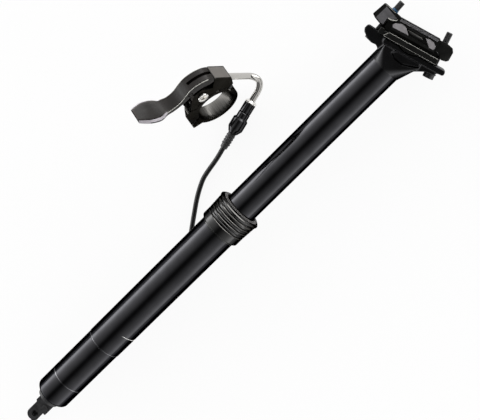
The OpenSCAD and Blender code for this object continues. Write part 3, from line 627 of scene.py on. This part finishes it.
tube_profile = [
    (BORE_R, -TUBE_LEN), (RELIEF_R - 0.25, -TUBE_LEN), (RELIEF_R, -TUBE_LEN + 0.25),
    (RELIEF_R, -FIT_LEN - 0.8), (RELIEF_R - 0.1, -FIT_LEN - 0.65), (RELIEF_R - 0.3, -FIT_LEN - 0.55),
    (RELIEF_R - 0.3, -FIT_LEN - 0.1), (TUBE_R - 0.25, -FIT_LEN), (TUBE_R, -FIT_LEN + 0.35),
    (TUBE_R, -0.02), (BORE_R, -0.02)]
piece("outer_tube_skin", *lathe(tube_profile, FINE), POST, "base", "black_anodised", TUBE_BLACK,
      ("outer_tube",))

shaft_profile = [(SHAFT_BORE_R, -SHAFT_IN), (SHAFT_R - 0.3, -SHAFT_IN), (SHAFT_R, -SHAFT_IN + 0.3),
                 (SHAFT_R, SHAFT_OUT), (SHAFT_BORE_R, SHAFT_OUT)]
piece("shaft_skin", *lathe(shaft_profile, FINE), POST, "shaft", "black_anodised", TUBE_BLACK, ("shaft_tube",))

cap_profile = [(CAP_HOLE_R, CAP_FROM), (RELIEF_R - 3.6, CAP_FROM)]
cap_profile += arc((RELIEF_R - CAP_ROUND, CAP_FROM + CAP_ROUND), CAP_ROUND, -84, 0, 10)
cap_profile += [(RELIEF_R, -TUBE_LEN - 0.75), (RELIEF_R - 0.5, -TUBE_LEN - 0.05), (BORE_R, -TUBE_LEN - 0.05),
                (CAP_MOUTH_R, -TUBE_LEN), (CAP_ROOM_R, CAP_FROM + CAP_ROOM_TOP),
                (CAP_ROOM_R, CAP_FROM + CAP_WALL), (CAP_HOLE_R, CAP_FROM + CAP_WALL)]
piece("bottom_cap_skin", *lathe(cap_profile, FINE), POST, "base", "black_anodised", TUBE_BLACK,
      ("bottom_cap",))

# Machined edges that catch the light where the cap meets the tube and at the fit's lower end
RING_SUNK = 0.6
RING_PROUD = 0.03
RING_CUT = 0.06


def edge_ring(r, station, width):
    low, high = station - width / 2, station + width / 2
    return lathe([(r - RING_SUNK, low), (r, low), (r + RING_PROUD, low + RING_CUT),
                  (r + RING_PROUD, high - RING_CUT), (r, high), (r - RING_SUNK, high)], FINE)


piece("cap_edge", *edge_ring(RELIEF_R, -TUBE_LEN - 0.05, 0.6), POST, "base", "black_anodised", CUT_EDGE)
piece("fit_edge", *edge_ring(TUBE_R - 0.05, -FIT_LEN + 0.1, 0.4), POST, "base", "black_anodised", LINE_EDGE)

# Painted line on one side of the tube that shows how far it has to go in
LINE_AT = -116.0
LINE_HALF = 0.24
LINE_ANGLES = (-26, -104)
LINE_STEPS = 40
LINE_LOW_R = TUBE_R - 0.1
LINE_TOP_R = TUBE_R + 0.03
line_verts = []
for k in range(LINE_STEPS + 1):
    a = math.radians(LINE_ANGLES[0] + (LINE_ANGLES[1] - LINE_ANGLES[0]) * k / LINE_STEPS)
    for r, side in ((LINE_LOW_R, -1), (LINE_TOP_R, -1), (LINE_TOP_R, 1), (LINE_LOW_R, 1)):
        line_verts.append((-r * math.cos(a), r * math.sin(a), LINE_AT + side * LINE_HALF))
line_ends = [(0, 1, 2, 3), tuple(4 * LINE_STEPS + i for i in (3, 2, 1, 0))]
piece("depth_line", line_verts, bands(LINE_STEPS + 1, 4) + line_ends, POST, "base", "ferrule", LINE_WHITE)

# Collar: a plain band, a grooved body that flares a little, and a flange
COLLAR_LEN = 26.0
BODY_R = 18.2
TOP_R = 19.6
BAND = (2.4, 8.7)
# Grooves: where each starts, its depth, and the length of the slope that catches the light
GROOVES = ((8.7, 0.75, 0.95), (11.2, 0.4, 0.5), (13.7, 0.75, 0.95), (15.9, 0.4, 0.5), (17.6, 0.75, 0.95),
           (20.6, 0.8, 1.1))
GROOVE_BACK = 0.5
BRIGHT_DEPTH = 0.5
FLARE = 0.055
collar_profile = [(15.4, 0), (16.2, 0), (16.4, 0.2), (16.4, 1.5), (17.2, 1.6)]
collar_profile += arc((17.4, BAND[0]), 0.8, -80, 0, 5)
collar_profile.append((BODY_R, BAND[0] + 0.2))
slopes = []
for top, deep, length in GROOVES:
    foot = top + length
    r = BODY_R + FLARE * (top - BAND[1])
    collar_profile += [(r, top), (r - deep, foot), (BODY_R + FLARE * (foot - BAND[1]), foot + GROOVE_BACK)]
    if deep > BRIGHT_DEPTH:
        slopes.append(lathe([(r - 0.05, top), (r + 0.02, top + 0.04), (r - deep + 0.04, foot - 0.02),
                             (r - deep - 0.05, foot)], FINE))
collar_profile += [
    (18.9, 22.5), (19.3, 23.0), (TOP_R - 0.1, 23.6), (TOP_R, 24.0), (TOP_R, 24.3), (TOP_R - 0.75, 25.05),
    (TOP_R - 0.95, 25.1), (TOP_R - 1.15, 25.45), (TOP_R - 1.9, COLLAR_LEN - 0.1), (TOP_R - 2.2, COLLAR_LEN),
    (15.2, COLLAR_LEN), (14.4, COLLAR_LEN - 0.7), (14.2, COLLAR_LEN - 2), (14.2, 16), (15.4, 16)]
piece("collar_skin", *lathe(collar_profile, FINE), POST, "base", "collar_black", COLLAR_BLACK, ("collar",),
      sharp=24)
wiper_profile = [(14.5, 24.8), (14.45, 26.0), (14.75, 26.6), (15.2, 26.75), (15.6, 26.5), (15.7, 26.1),
                 (16.0, 26.05), (16.25, 26.3), (16.9, 26.3), (17.15, 26.05), (17.1, 25.8), (16.5, 24.8)]
piece("wiper_ring", *lathe(wiper_profile, FINE), POST, "base", "rubber", WIPER_GREY, sharp=40)
rim_profile = [(TOP_R - 0.5, 24.2), (TOP_R - 0.12, 24.42), (TOP_R - 0.1, 24.48), (TOP_R - 0.52, 24.9),
               (TOP_R - 0.6, 24.9)]
piece("collar_edge", *joined(lathe(rim_profile, FINE), *slopes), POST, "base", "collar_black", RIM_EDGE,
      sharp=40)

# Forged head: the solid's form with its edges flowed together
HEAD_GRAIN = 0.5
HEAD_ROUNDS = 9
# Where the head is brought flush with the shaft: stations, and the radius that parts outside from bore
NECK = (SHAFT_OUT - 1, SHAFT_OUT + 9)
NECK_WALL_R = 12.2
NECK_R = SHAFT_R + 0.02


def forged(node, name, body, material):
    """A copy of a CAD node, remeshed and smoothed, that covers it."""
    made = bpy.data.objects.new(name, NODES[node].data.copy())
    bpy.context.collection.objects.link(made)
    weld = made.modifiers.new("weld", "WELD")
    weld.merge_threshold = WELD
    grain = made.modifiers.new("grain", "REMESH")
    grain.mode = "VOXEL"
    grain.voxel_size = HEAD_GRAIN * MM
    flow = made.modifiers.new("flow", "SMOOTH")
    flow.factor = 0.5
    flow.iterations = HEAD_ROUNDS
    depsgraph = bpy.context.evaluated_depsgraph_get()
    baked = bpy.data.meshes.new_from_object(made.evaluated_get(depsgraph))
    made.modifiers.clear()
    made.data = baked
    baked.name = name
    baked.materials.clear()
    baked.materials.append(material)
    baked.shade_smooth()
    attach(made, body)
    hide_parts(node)
    return made


head = forged("post_head", "head_forging", "shaft", FORGED_BLACK)
for v in head.data.vertices:
    r = math.hypot(v.co.y, v.co.z) / MM
    if NECK_WALL_R < r < NECK_R and NECK[0] < v.co.x / MM < NECK[1]:
        v.co.y *= NECK_R / r
        v.co.z *= NECK_R / r


# Screws and bolts
def hexagon(corners):
    """Radius of a hexagon with the given distance across its corners, by angle."""
    def radius(a):
        inner = (a + math.pi / 6) % (math.pi / 3) - math.pi / 6
        return corners / 2 * math.cos(math.pi / 6) / math.cos(inner)
    return radius


def screw_head(r, height, socket, depth, edge):
    """A round head whose top is at height, with a hexagon socket."""
    six = hexagon(socket)
    return lathe_open([
        (0.0, 0), (r - 0.2, 0), (r, 0.2), (r, height - edge), (r - 0.3 * edge, height - 0.3 * edge),
        (r - edge, height), (lambda a: six(a) + 0.25, height), (six, height - 0.25), (six, height - depth),
        (0.0, height - depth - 0.3)], 48)


THREAD_DEPTH = 0.35
THREAD_CHAMFER = 0.6
ROWS_PER_PITCH = 8


def thread(r, pitch, start, end, count=24):
    """A threaded rod with narrow flats on its ridges and a chamfered end."""
    step = pitch / ROWS_PER_PITCH
    rows = int((end - start) / step)
    verts = [(0, 0, start)]
    for i in range(rows + 1):
        z = start + i * step
        for k in range(count):
            phase = (z / pitch - k / count) % 1
            ridge = abs(phase - 0.5) * 2
            reach = r - THREAD_DEPTH * min(max(ridge * 1.3 - 0.15, 0), 1)
            reach = min(reach, r - THREAD_CHAMFER + (end - z))
            a = 2 * math.pi * k / count
            verts.append((reach * math.cos(a), reach * math.sin(a), z))
    verts.append((0, 0, end))
    faces = bands(rows + 1, count, 1)
    for k in range(count):
        n = (k + 1) % count
        faces.append((0, 1 + n, 1 + k))
        faces.append((len(verts) - 1, 1 + rows * count + k, 1 + rows * count + n))
    return verts, faces


BOLT_R = 2.5
BOLT_PITCH = 0.8
WASHER_R = 4.75
WASHER_T = 1.2
# Saddle bolts: foot in the clamp's plane, lean in degrees, height of the washer's top and of the bolt's tip
BOLTS = (((-26.5, -10), -12.5, 1.0, 33.0), ((24.1, -10), 3.5, -2.4, 29.6))


def bolt_frame(foot, lean):
    return (Matrix.Translation((*foot, 0)) @ Matrix.Rotation(math.radians(lean), 4, "Z")
            @ Matrix.Rotation(-math.pi / 2, 4, "X"))


bolt_head = screw_head(r=4.25, height=3.5, socket=4.6, depth=2.6, edge=0.5)
bolt_shapes, washer_shapes = [], []
for foot, lean, seat, tip in BOLTS:
    on_bolt = bolt_frame(foot, lean)
    under = seat - WASHER_T
    flip = Matrix.Translation((0, 0, under)) @ Matrix.Rotation(math.pi, 4, "X")
    bolt_shapes.append(moved(moved(bolt_head, flip), on_bolt))
    bolt_shapes.append(moved(thread(BOLT_R, BOLT_PITCH, under, tip), on_bolt))
    washer_profile = [(BOLT_R, under), (WASHER_R - 0.3, under), (WASHER_R, under + 0.25),
                      (WASHER_R, seat - 0.15), (WASHER_R - 0.15, seat), (BOLT_R, seat)]
    washer_shapes.append(moved(lathe(washer_profile, 48), on_bolt))
piece("clamp_bolt_set", *joined(*bolt_shapes), CLAMP, "shaft", "black_steel", BLACK_STEEL, ("clamp_bolts",),
      sharp=40)
piece("washer_set", *joined(*washer_shapes), CLAMP, "shaft", "black_steel", BLACK_STEEL, ("bolt_washers",))

# Saddle clamp, with the lighter blasted panels on its facets and ears
keep("lower_cradle", CLAMP_BLACK, 0.45)
keep("upper_clamp", CLAMP_BLACK, 0.5)
keep("barrel_nuts", STEEL, 0.2)
CLAMP_HALF = 26.0
EAR_HALF = 9.0
RECESS_FLOOR = 23.0
PROUD = 0.08
PANEL_CUT = 0.04
LEFT_FACET = ((-16.7, 5.2), (-15.4, 6.9), (-11.4, 8.6), (-7.6, 8.1), (-3.0, 3.9), (-15.6, 3.5))
RIGHT_FACET = ((8.9, 7.9), (11, 8.4), (15, 8.2), (17.8, 6.3), (17.6, 3.3), (14.2, 3.3))
EAR_FACE = ((-30.6, 3.9), (-27.6, 13.9), (-16.6, 10.1), (-18.4, 8.2), (-23.2, 6.6), (-23.6, 1.7),
            (-26.2, 1.9))
RECESS_BAR = ((-5.3, 7.1), (6.1, 6.9), (7.3, 6.3), (6.6, 5.5), (-3.2, 5.5))
CRADLE_END = ((-19.2, -4.9), (-17.2, -2.0), (-16.4, -1.9), (-16.4, -4.9))
CRADLE_END_FROM = 19.0
CRADLE_LIP = ((-17.4, -2.6), (-15.7, -0.8), (24.0, -0.8), (24.4, -2.6))


def clamp_trim(name, shapes, material):
    """Trim on both sides of the saddle clamp."""
    piece(name, *joined(*[both_sides(shape) for shape in shapes]), CLAMP, "saddle_clamp", "clamp_black",
          material)


clamp_trim("clamp_facets", [plate(facet, CLAMP_HALF - 1, CLAMP_HALF + PROUD, PANEL_CUT)
                            for facet in (LEFT_FACET, RIGHT_FACET)], BLASTED_GREY)
clamp_trim("ear_faces", [plate(EAR_FACE, EAR_HALF - 1, EAR_HALF + PROUD, PANEL_CUT)], EAR_GREY)
clamp_trim("recess_bars", [plate(RECESS_BAR, RECESS_FLOOR - 0.5, RECESS_FLOOR + 2.2, 0.5)], BAR_GREY)
clamp_trim("cradle_trim", [plate(CRADLE_END, CRADLE_END_FROM, CLAMP_HALF - 0.1, 0.3),
                           plate(CRADLE_LIP, CLAMP_HALF - 0.45, CLAMP_HALF + 0.02, 0.15)], CLAMP_BLACK)

# Light grey lines along the clamp's edges and the ear's fillet, painted highlights: points, radius and facets
# of each
EDGE_Z = 25.8
EAR_EDGE_Z = 8.85
BAR_EDGE_Z = 25.0
FILLET_STEPS = 6
fillet = curve_through([(-22.6, 7.4, EAR_HALF), (-19.4, 7.1, EAR_HALF), (-16.2, 8.5, EAR_HALF),
                        (-14.7, 11.2, EAR_HALF)], FILLET_STEPS)
fillet_radii = [0.15 + 0.6 * math.sin(math.pi * k / (len(fillet) - 1)) for k in range(len(fillet))]
EDGE_HIGHLIGHTS = (
    ([(-18.7, -4.5, EDGE_Z), (-17.2, -2.4, EDGE_Z), (-15.7, -0.95, EDGE_Z)], 0.18, 8),
    ([(-15.7, -0.95, EDGE_Z), (24.0, -0.95, EDGE_Z)], 0.27, 8),
    ([(-18.6, -4.75, EDGE_Z), (24.2, -4.75, EDGE_Z)], 0.2, 8),
    ([(-5.0, 6.95, BAR_EDGE_Z), (6.0, 6.75, BAR_EDGE_Z), (6.9, 6.2, BAR_EDGE_Z)], 0.3, 8),
    ([(-29.2, 15.3, EAR_EDGE_Z), (-19.6, 13.1, EAR_EDGE_Z)], 0.22, 8),
    (fillet, fillet_radii, 10),
)
clamp_trim("clamp_edges", [tube(*edge) for edge in EDGE_HIGHLIGHTS], HIGHLIGHT_GREY)

# Fine cross grooves along both top edges of the clamp
RIDGE_HALF = 19.0
RIDGE_FROM, RIDGE_TO, RIDGE_PITCH = -13.6, 17.6, 0.8
RIDGE_WIDTH = 0.65 * RIDGE_PITCH
RIDGE_LOW, RIDGE_HIGH, RIDGE_SLANT = 9.6, 11.6, 0.3
teeth = []
for k in range(int((RIDGE_TO - RIDGE_FROM) / RIDGE_PITCH)):
    a = RIDGE_FROM + k * RIDGE_PITCH
    b = a + RIDGE_WIDTH
    tooth = ((a, RIDGE_LOW), (b, RIDGE_LOW), (b + RIDGE_SLANT, RIDGE_HIGH), (a + RIDGE_SLANT, RIDGE_HIGH))
    teeth.append(plate(tooth, RIDGE_HALF - 0.4, RIDGE_HALF + 0.25, 0.1))
clamp_trim("clamp_serration", teeth, TOOTH_GREY)

# Thread-locking compound left on the front bolt above the clamp
smear = [(2.3, 23.2), (2.62, 23.3), (2.68, 24.2), (2.64, 25.2), (2.5, 26.0), (2.3, 26.1)]
piece("thread_locker", *moved(lathe(smear, 40), bolt_frame(*BOLTS[0][:2])), CLAMP, "shaft", "black_steel",
      THREADLOCK)

# Bottom end
keep("actuator_bracket", ACTUATOR_GREY, 0.35)
keep("actuator_lever", ACTUATOR_GREY, 0.8, 3)
keep("actuator_pin", ACTUATOR_GREY, 0.2)

# Remote: the lever's upper and lower lines from its hub to its tip, and half its width at each point
keep("remote_bracket", REMOTE_BLACK, 0.5, 3)
keep("clamp_band", REMOTE_BLACK, 0.4, 3)
LEVER_TOP = [(10.4, 38.2), (6.5, 41.3), (1.5, 43.2), (-4, 43.9), (-9.4, 43.1), (-14, 40.7), (-18, 37.9),
             (-22.6, 35.8), (-28, 35.4), (-33, 36.8), (-38, 40), (-44.5, 45), (-49.4, 48.2), (-53, 50.2)]
LEVER_LOW = [(8.8, 33.8), (5.4, 33.6), (1, 35.2), (-4, 35.8), (-8.5, 35.3), (-12.6, 33.9), (-17.5, 32.3),
             (-23, 31.4), (-28.6, 31), (-34.2, 32.8), (-39.8, 36.4), (-46.2, 41.8), (-50.8, 45.2),
             (-54, 47.4)]
LEVER_WIDE = [6.2, 6.2, 6.2, 6.2, 6.2, 6.2, 6.2, 6.2, 6.25, 6.9, 9.7, 10, 8.4, 6.6]
LEVER_STEPS = 8
LEVER_EDGE = 0.8
PADDLE_FROM, PADDLE_BLEND = -31, 4
PADDLE_EDGE = 1.5
PADDLE_RIM = 1.0
RIM_DROP = 0.25
DISH_FROM, DISH_BLEND, DISH_DEPTH = -30, 10, 0.5
SLOT_END, SLOT_BLEND = -8.5, 0.8
SLOT_HALF = 1.3
SLOT_DEPTH = 4.6


def rise(value, length):
    """0 before, 1 after, and even in between."""
    return min(max(value / length, 0), 1)


def paddle_share(x):
    """How far a place along the lever is into its paddle, 0 to 1."""
    return rise(PADDLE_FROM - x, PADDLE_BLEND)


def lever_loft():
    """The lever's arm and paddle: sections with cut edges, a rim round the paddle and the cable's slot."""
    top = curve_through([(x, y, 0) for x, y in LEVER_TOP], LEVER_STEPS)
    low = curve_through([(x, y, 0) for x, y in LEVER_LOW], LEVER_STEPS)
    wide = curve_through([(w, 0, 0) for w in LEVER_WIDE], LEVER_STEPS)
    verts = []
    for t, b, w in zip(top, low, [p.x for p in wide]):
        down = (b - t).normalized()
        thick = (b - t).length
        share = paddle_share(t.x)
        cut = min(LEVER_EDGE + (PADDLE_EDGE - LEVER_EDGE) * share, 0.45 * thick)
        foot = min(LEVER_EDGE, 0.4 * thick)
        sunk = SLOT_DEPTH * rise(t.x - SLOT_END, SLOT_BLEND) ** 0.5
        dish = DISH_DEPTH * rise(DISH_FROM - t.x, DISH_BLEND)
        rim = w - cut - PADDLE_RIM
        half = [(t + down * cut, w), (t, w - cut), (t + down * RIM_DROP * share, rim),
                (t + down * 0.6 * dish, w * 0.5), (t + down * dish, SLOT_HALF),
                (t + down * (dish + sunk), SLOT_HALF)]
        row = [(p, -z) for p, z in half] + list(reversed(half))
        row += [(b - down * foot, w), (b, w - foot), (b, foot - w), (b - down * foot, -w)]
        verts += [Vector((p.x, p.y, z)) for p, z in row]
    n = len(verts) // len(top)
    faces = bands(len(top), n)
    faces.append(tuple(range(n)))
    faces.append(tuple((len(top) - 1) * n + k for k in reversed(range(n))))
    return verts, faces


def lever_width(x):
    """Half the lever's width at a place along it."""
    for (x0, _), (x1, _), w0, w1 in zip(LEVER_TOP, LEVER_TOP[1:], LEVER_WIDE, LEVER_WIDE[1:]):
        if x1 <= x <= x0:
            return w0 + (w1 - w0) * (x0 - x) / (x0 - x1)
    return LEVER_WIDE[-1]


lever = piece("lever_body", *lever_loft(), REMOTE, "lever", "lever_grey", LEVER_FINISH, ("remote_lever",),
              sharp=32)
# The darker lever_rim finish paints shade along the paddle's rim, where its top rolls off
lever.data.materials.append(LEVER_RIM)
lever.data.materials.append(LEVER_BEVEL)
RIM_SHADE_INDEX, BEVEL_INDEX = 1, 2
# Faces of the paddle's top: their least share of it, their least look upwards, and a bevel's look sideways
TOP_SHARE, TOP_UP, BEVEL_ASIDE = 0.4, 0.1, 0.45
TIP_RIM = 1.2
to_remote = REMOTE.inverted()
lever_turn = REMOTE.to_3x3().normalized().transposed()
for face in lever.data.polygons:
    at = to_remote @ face.center
    way = lever_turn @ face.normal
    if paddle_share(at.x) > TOP_SHARE and way.y > TOP_UP:
        if abs(way.z) > BEVEL_ASIDE:
            face.material_index = BEVEL_INDEX
        elif (abs(at.z) > lever_width(at.x) - PADDLE_EDGE - PADDLE_RIM
              or at.x < LEVER_TOP[-1][0] + TIP_RIM):
            face.material_index = RIM_SHADE_INDEX

# Hub and web that carry the lever on its pivot
PIVOT_AT = (-4.4, 25.4)
HUB_R = 7.5
HUB_BORE_R = 4.3
HUB_CUT = 0.4
HUB_HALF = 3.6
HUB_WEB = ((-11, 31.5), (-15.6, 36.4), (-9, 40), (0, 40.6), (7.6, 37.4), (7.2, 33.6), (4, 29.6), (-4, 29))
hub_profile = [(HUB_BORE_R, -HUB_HALF), (HUB_R - HUB_CUT, -HUB_HALF), (HUB_R, -HUB_HALF + HUB_CUT),
               (HUB_R, HUB_HALF - HUB_CUT), (HUB_R - HUB_CUT, HUB_HALF), (HUB_BORE_R, HUB_HALF)]
hub = moved(lathe(hub_profile, 64), Matrix.Translation((*PIVOT_AT, 0)))
piece("lever_hub", *joined(hub, plate(HUB_WEB, -HUB_HALF, HUB_HALF, 0.3)), REMOTE, "lever", "lever_grey",
      LEVER_FINISH)

# Bright lines along the arm's upper edges: painted highlights
ARM_FROM = 9
ARM_PADDLE = 0.8
ARM_STEPS = 6
ARM_SIDES = 10
EDGE_R = 0.26
EDGE_DOWN, EDGE_IN = 0.42, 0.34
arm = [(x, y, w) for (x, y), w in zip(LEVER_TOP, LEVER_WIDE) if x < ARM_FROM and paddle_share(x) < ARM_PADDLE]
arm_line = curve_through(arm, ARM_STEPS)
near_edge = tube([p - Vector((0, EDGE_DOWN, EDGE_IN)) for p in arm_line], EDGE_R, ARM_SIDES)
far_edge = tube([Vector((p.x, p.y - EDGE_DOWN, EDGE_IN - p.z)) for p in arm_line], EDGE_R, ARM_SIDES)
piece("lever_edges", *joined(near_edge, far_edge), REMOTE, "lever", "lever_grey", HIGHLIGHT_GREY)

# Cable screw's hole in the arm's side
SCREW_AT = Matrix.Translation((-11, 37.8, 0))
hole_rim = [(1.2, 5.6), (1.25, 6.25), (1.5, 6.38), (1.9, 6.36), (2.05, 6.2), (2.0, 5.6)]
piece("screw_rim", *moved(lathe(hole_rim, 40), SCREW_AT), REMOTE, "lever", "lever_grey", LEVER_RIM)
hole = [(0.0, 5.9), (1.0, 5.9), (1.15, 6.24), (1.22, 6.24), (1.22, 5.5), (0.0, 5.5)]
piece("screw_socket", *moved(lathe_open(hole, 32), SCREW_AT), REMOTE, "lever", "black_steel", RUBBER)

# Bright end of the cross pin in the bar clamp's lug
STUD_AT = Matrix.Translation((-23.8, -5.1, 2.8)) @ Matrix.Rotation(-math.pi / 2, 4, "Y")
stud = [(0.0, -2.5), (1.4, -2.5), (1.4, 0.2), (1.2, 0.55), (0.6, 0.75), (0.0, 0.8)]
piece("lug_stud", *moved(lathe_open(stud, 32), STUD_AT), REMOTE, "band", "silver", SILVER)

# Top of the bracket's block in a lighter colour, painted light on its upper face: a plate on the line between
# two points of its outline
BLOCK_TOP = (Vector((10.9, 37.4)), Vector((21.8, 23)))
BLOCK_HALF = 5.4
BLOCK_MARGIN = 0.9
top_len = (BLOCK_TOP[1] - BLOCK_TOP[0]).length
top_way = (BLOCK_TOP[1] - BLOCK_TOP[0]).normalized()
top_frame = Matrix(((top_way.x, 0, -top_way.y, BLOCK_TOP[0].x), (top_way.y, 0, top_way.x, BLOCK_TOP[0].y),
                    (0, 1, 0, 0), (0, 0, 0, 1)))
top_outline = ((BLOCK_MARGIN, -BLOCK_HALF), (top_len - BLOCK_MARGIN, -BLOCK_HALF),
               (top_len - BLOCK_MARGIN, BLOCK_HALF), (BLOCK_MARGIN, BLOCK_HALF))
piece("block_top", *moved(plate(top_outline, -0.4, 0.12, 0.08), top_frame), REMOTE, "base", "lever_grey",
      BLOCK_TOP_LIGHT)

# Pivot bolt, with its head on the fork's near side
PIVOT_FACE = Matrix.Translation((*PIVOT_AT, 6.2))
pivot_head = screw_head(r=4.4, height=2.2, socket=4.6, depth=1.7, edge=0.7)
piece("pivot_head", *moved(pivot_head, PIVOT_FACE), REMOTE, "base", "silver", SILVER, ("pivot_bolt",))

# Noodle: a straight leg, a bend through a Bezier curve's handles, and a short straight end
NOODLE_R = 2.68
LEG_STEPS, BEND_STEPS, END_STEPS = 10, 40, 4
NOODLE_LEG = [Vector(p) for p in ((90.84, 81.75, 13), (101.48, 69.83, -12.4))]
NOODLE_BEND = [Vector(p) for p in ((103.6, 67.4, -17.5), (109.4, 59.1, -19.6), (95, 55.8, -19.6))]


def bezier(a, b, c, d, t):
    return (1 - t) ** 3 * a + 3 * t * (1 - t) ** 2 * b + 3 * t * t * (1 - t) * c + t ** 3 * d


noodle_path = [NOODLE_LEG[0].lerp(NOODLE_LEG[1], k / LEG_STEPS) for k in range(LEG_STEPS)]
noodle_path += [bezier(NOODLE_LEG[1], *NOODLE_BEND, k / BEND_STEPS) for k in range(BEND_STEPS + 1)]
noodle_path += [NOODLE_BEND[2].lerp(adjuster_at, k / END_STEPS) for k in range(1, END_STEPS + 1)]
piece("noodle_tube", *tube(noodle_path, NOODLE_R, 40), WHOLE, "base", "steel", POLISHED, ("noodle",),
      sharp=50)


# Flange, adjuster and ferrule, turned about the cable's axis
def adjuster_piece(name, profile, count, body, slot, material, node, sharp=30):
    piece(name, *lathe(profile, count), ADJUSTER, body, slot, material, (node,), sharp=sharp)


flange_profile = [(2.7, -1), (3.5, -1), (4.4, -0.15), (4.7, 0), (5, 0.3), (5, 1.1), (4.7, 1.4), (2.7, 1.4)]
adjuster_piece("noodle_cap", flange_profile, 64, "base", "silver", SILVER, "noodle_flange")

BARREL_R = 4.7
STUD_R = 2.6
CABLE_HOLE_R = 0.5
barrel_profile = [(CABLE_HOLE_R, 1.45), (BARREL_R - 0.3, 1.45), (BARREL_R, 1.8), (BARREL_R, 9.6),
                  (BARREL_R - 0.3, 10), (STUD_R, 10), (STUD_R, 29.5), (CABLE_HOLE_R, 29.5)]
adjuster_piece("adjuster_body", barrel_profile, 64, "base", "black_plastic", KNOB_BLACK, "adjuster_barrel")

KNOB_NECK_R = 4.85
KNOB_R = 6.2
KNOB_BORE_R = 2.65
knob_profile = [(KNOB_BORE_R, 10.3), (KNOB_NECK_R - 0.25, 10.3), (KNOB_NECK_R, 10.55), (KNOB_NECK_R, 15.1),
                (KNOB_NECK_R + 0.1, 15.3), (KNOB_R - 0.15, 16.45), (KNOB_R, 16.75), (KNOB_R, 24.6),
                (KNOB_R - 0.15, 25.3), (4, 29.0), (3.6, 29.2), (KNOB_BORE_R, 29.2)]
adjuster_piece("adjuster_grip", knob_profile, 72, "knob", "black_plastic", KNOB_BLACK, "adjuster_knob",
               sharp=20)

# Ribs of the ferrule: how many, where the first is, and their pitch and radius, on a body that narrows
RIBS, RIB_FROM, RIB_PITCH, RIB_R = 4, 31.5, 2.4, 3.6
FERRULE_FROM, FERRULE_LEN = 29.5, 14
FERRULE_R, FERRULE_NARROWS = 3.4, 0.5
ferrule_profile = [(CABLE_HOLE_R, 29.55), (3.3, 29.55)]
for k in range(RIBS):
    z = RIB_FROM + k * RIB_PITCH
    foot = FERRULE_R - FERRULE_NARROWS * (z - FERRULE_FROM) / FERRULE_LEN
    ferrule_profile += [(foot, z - 0.1), (RIB_R - 0.1, z + 0.1), (RIB_R, z + 0.3), (RIB_R, z + 0.9),
                        (RIB_R - 0.1, z + 1.1), (foot - 0.05, z + 1.3)]
ferrule_profile += [(2.95, 43.1), (2.7, 43.5), (2.0, 43.5), (2.0, 42.4), (CABLE_HOLE_R, 42.4)]
adjuster_piece("ferrule_skin", ferrule_profile, 64, "base", "ferrule", FERRULE, "housing_ferrule")
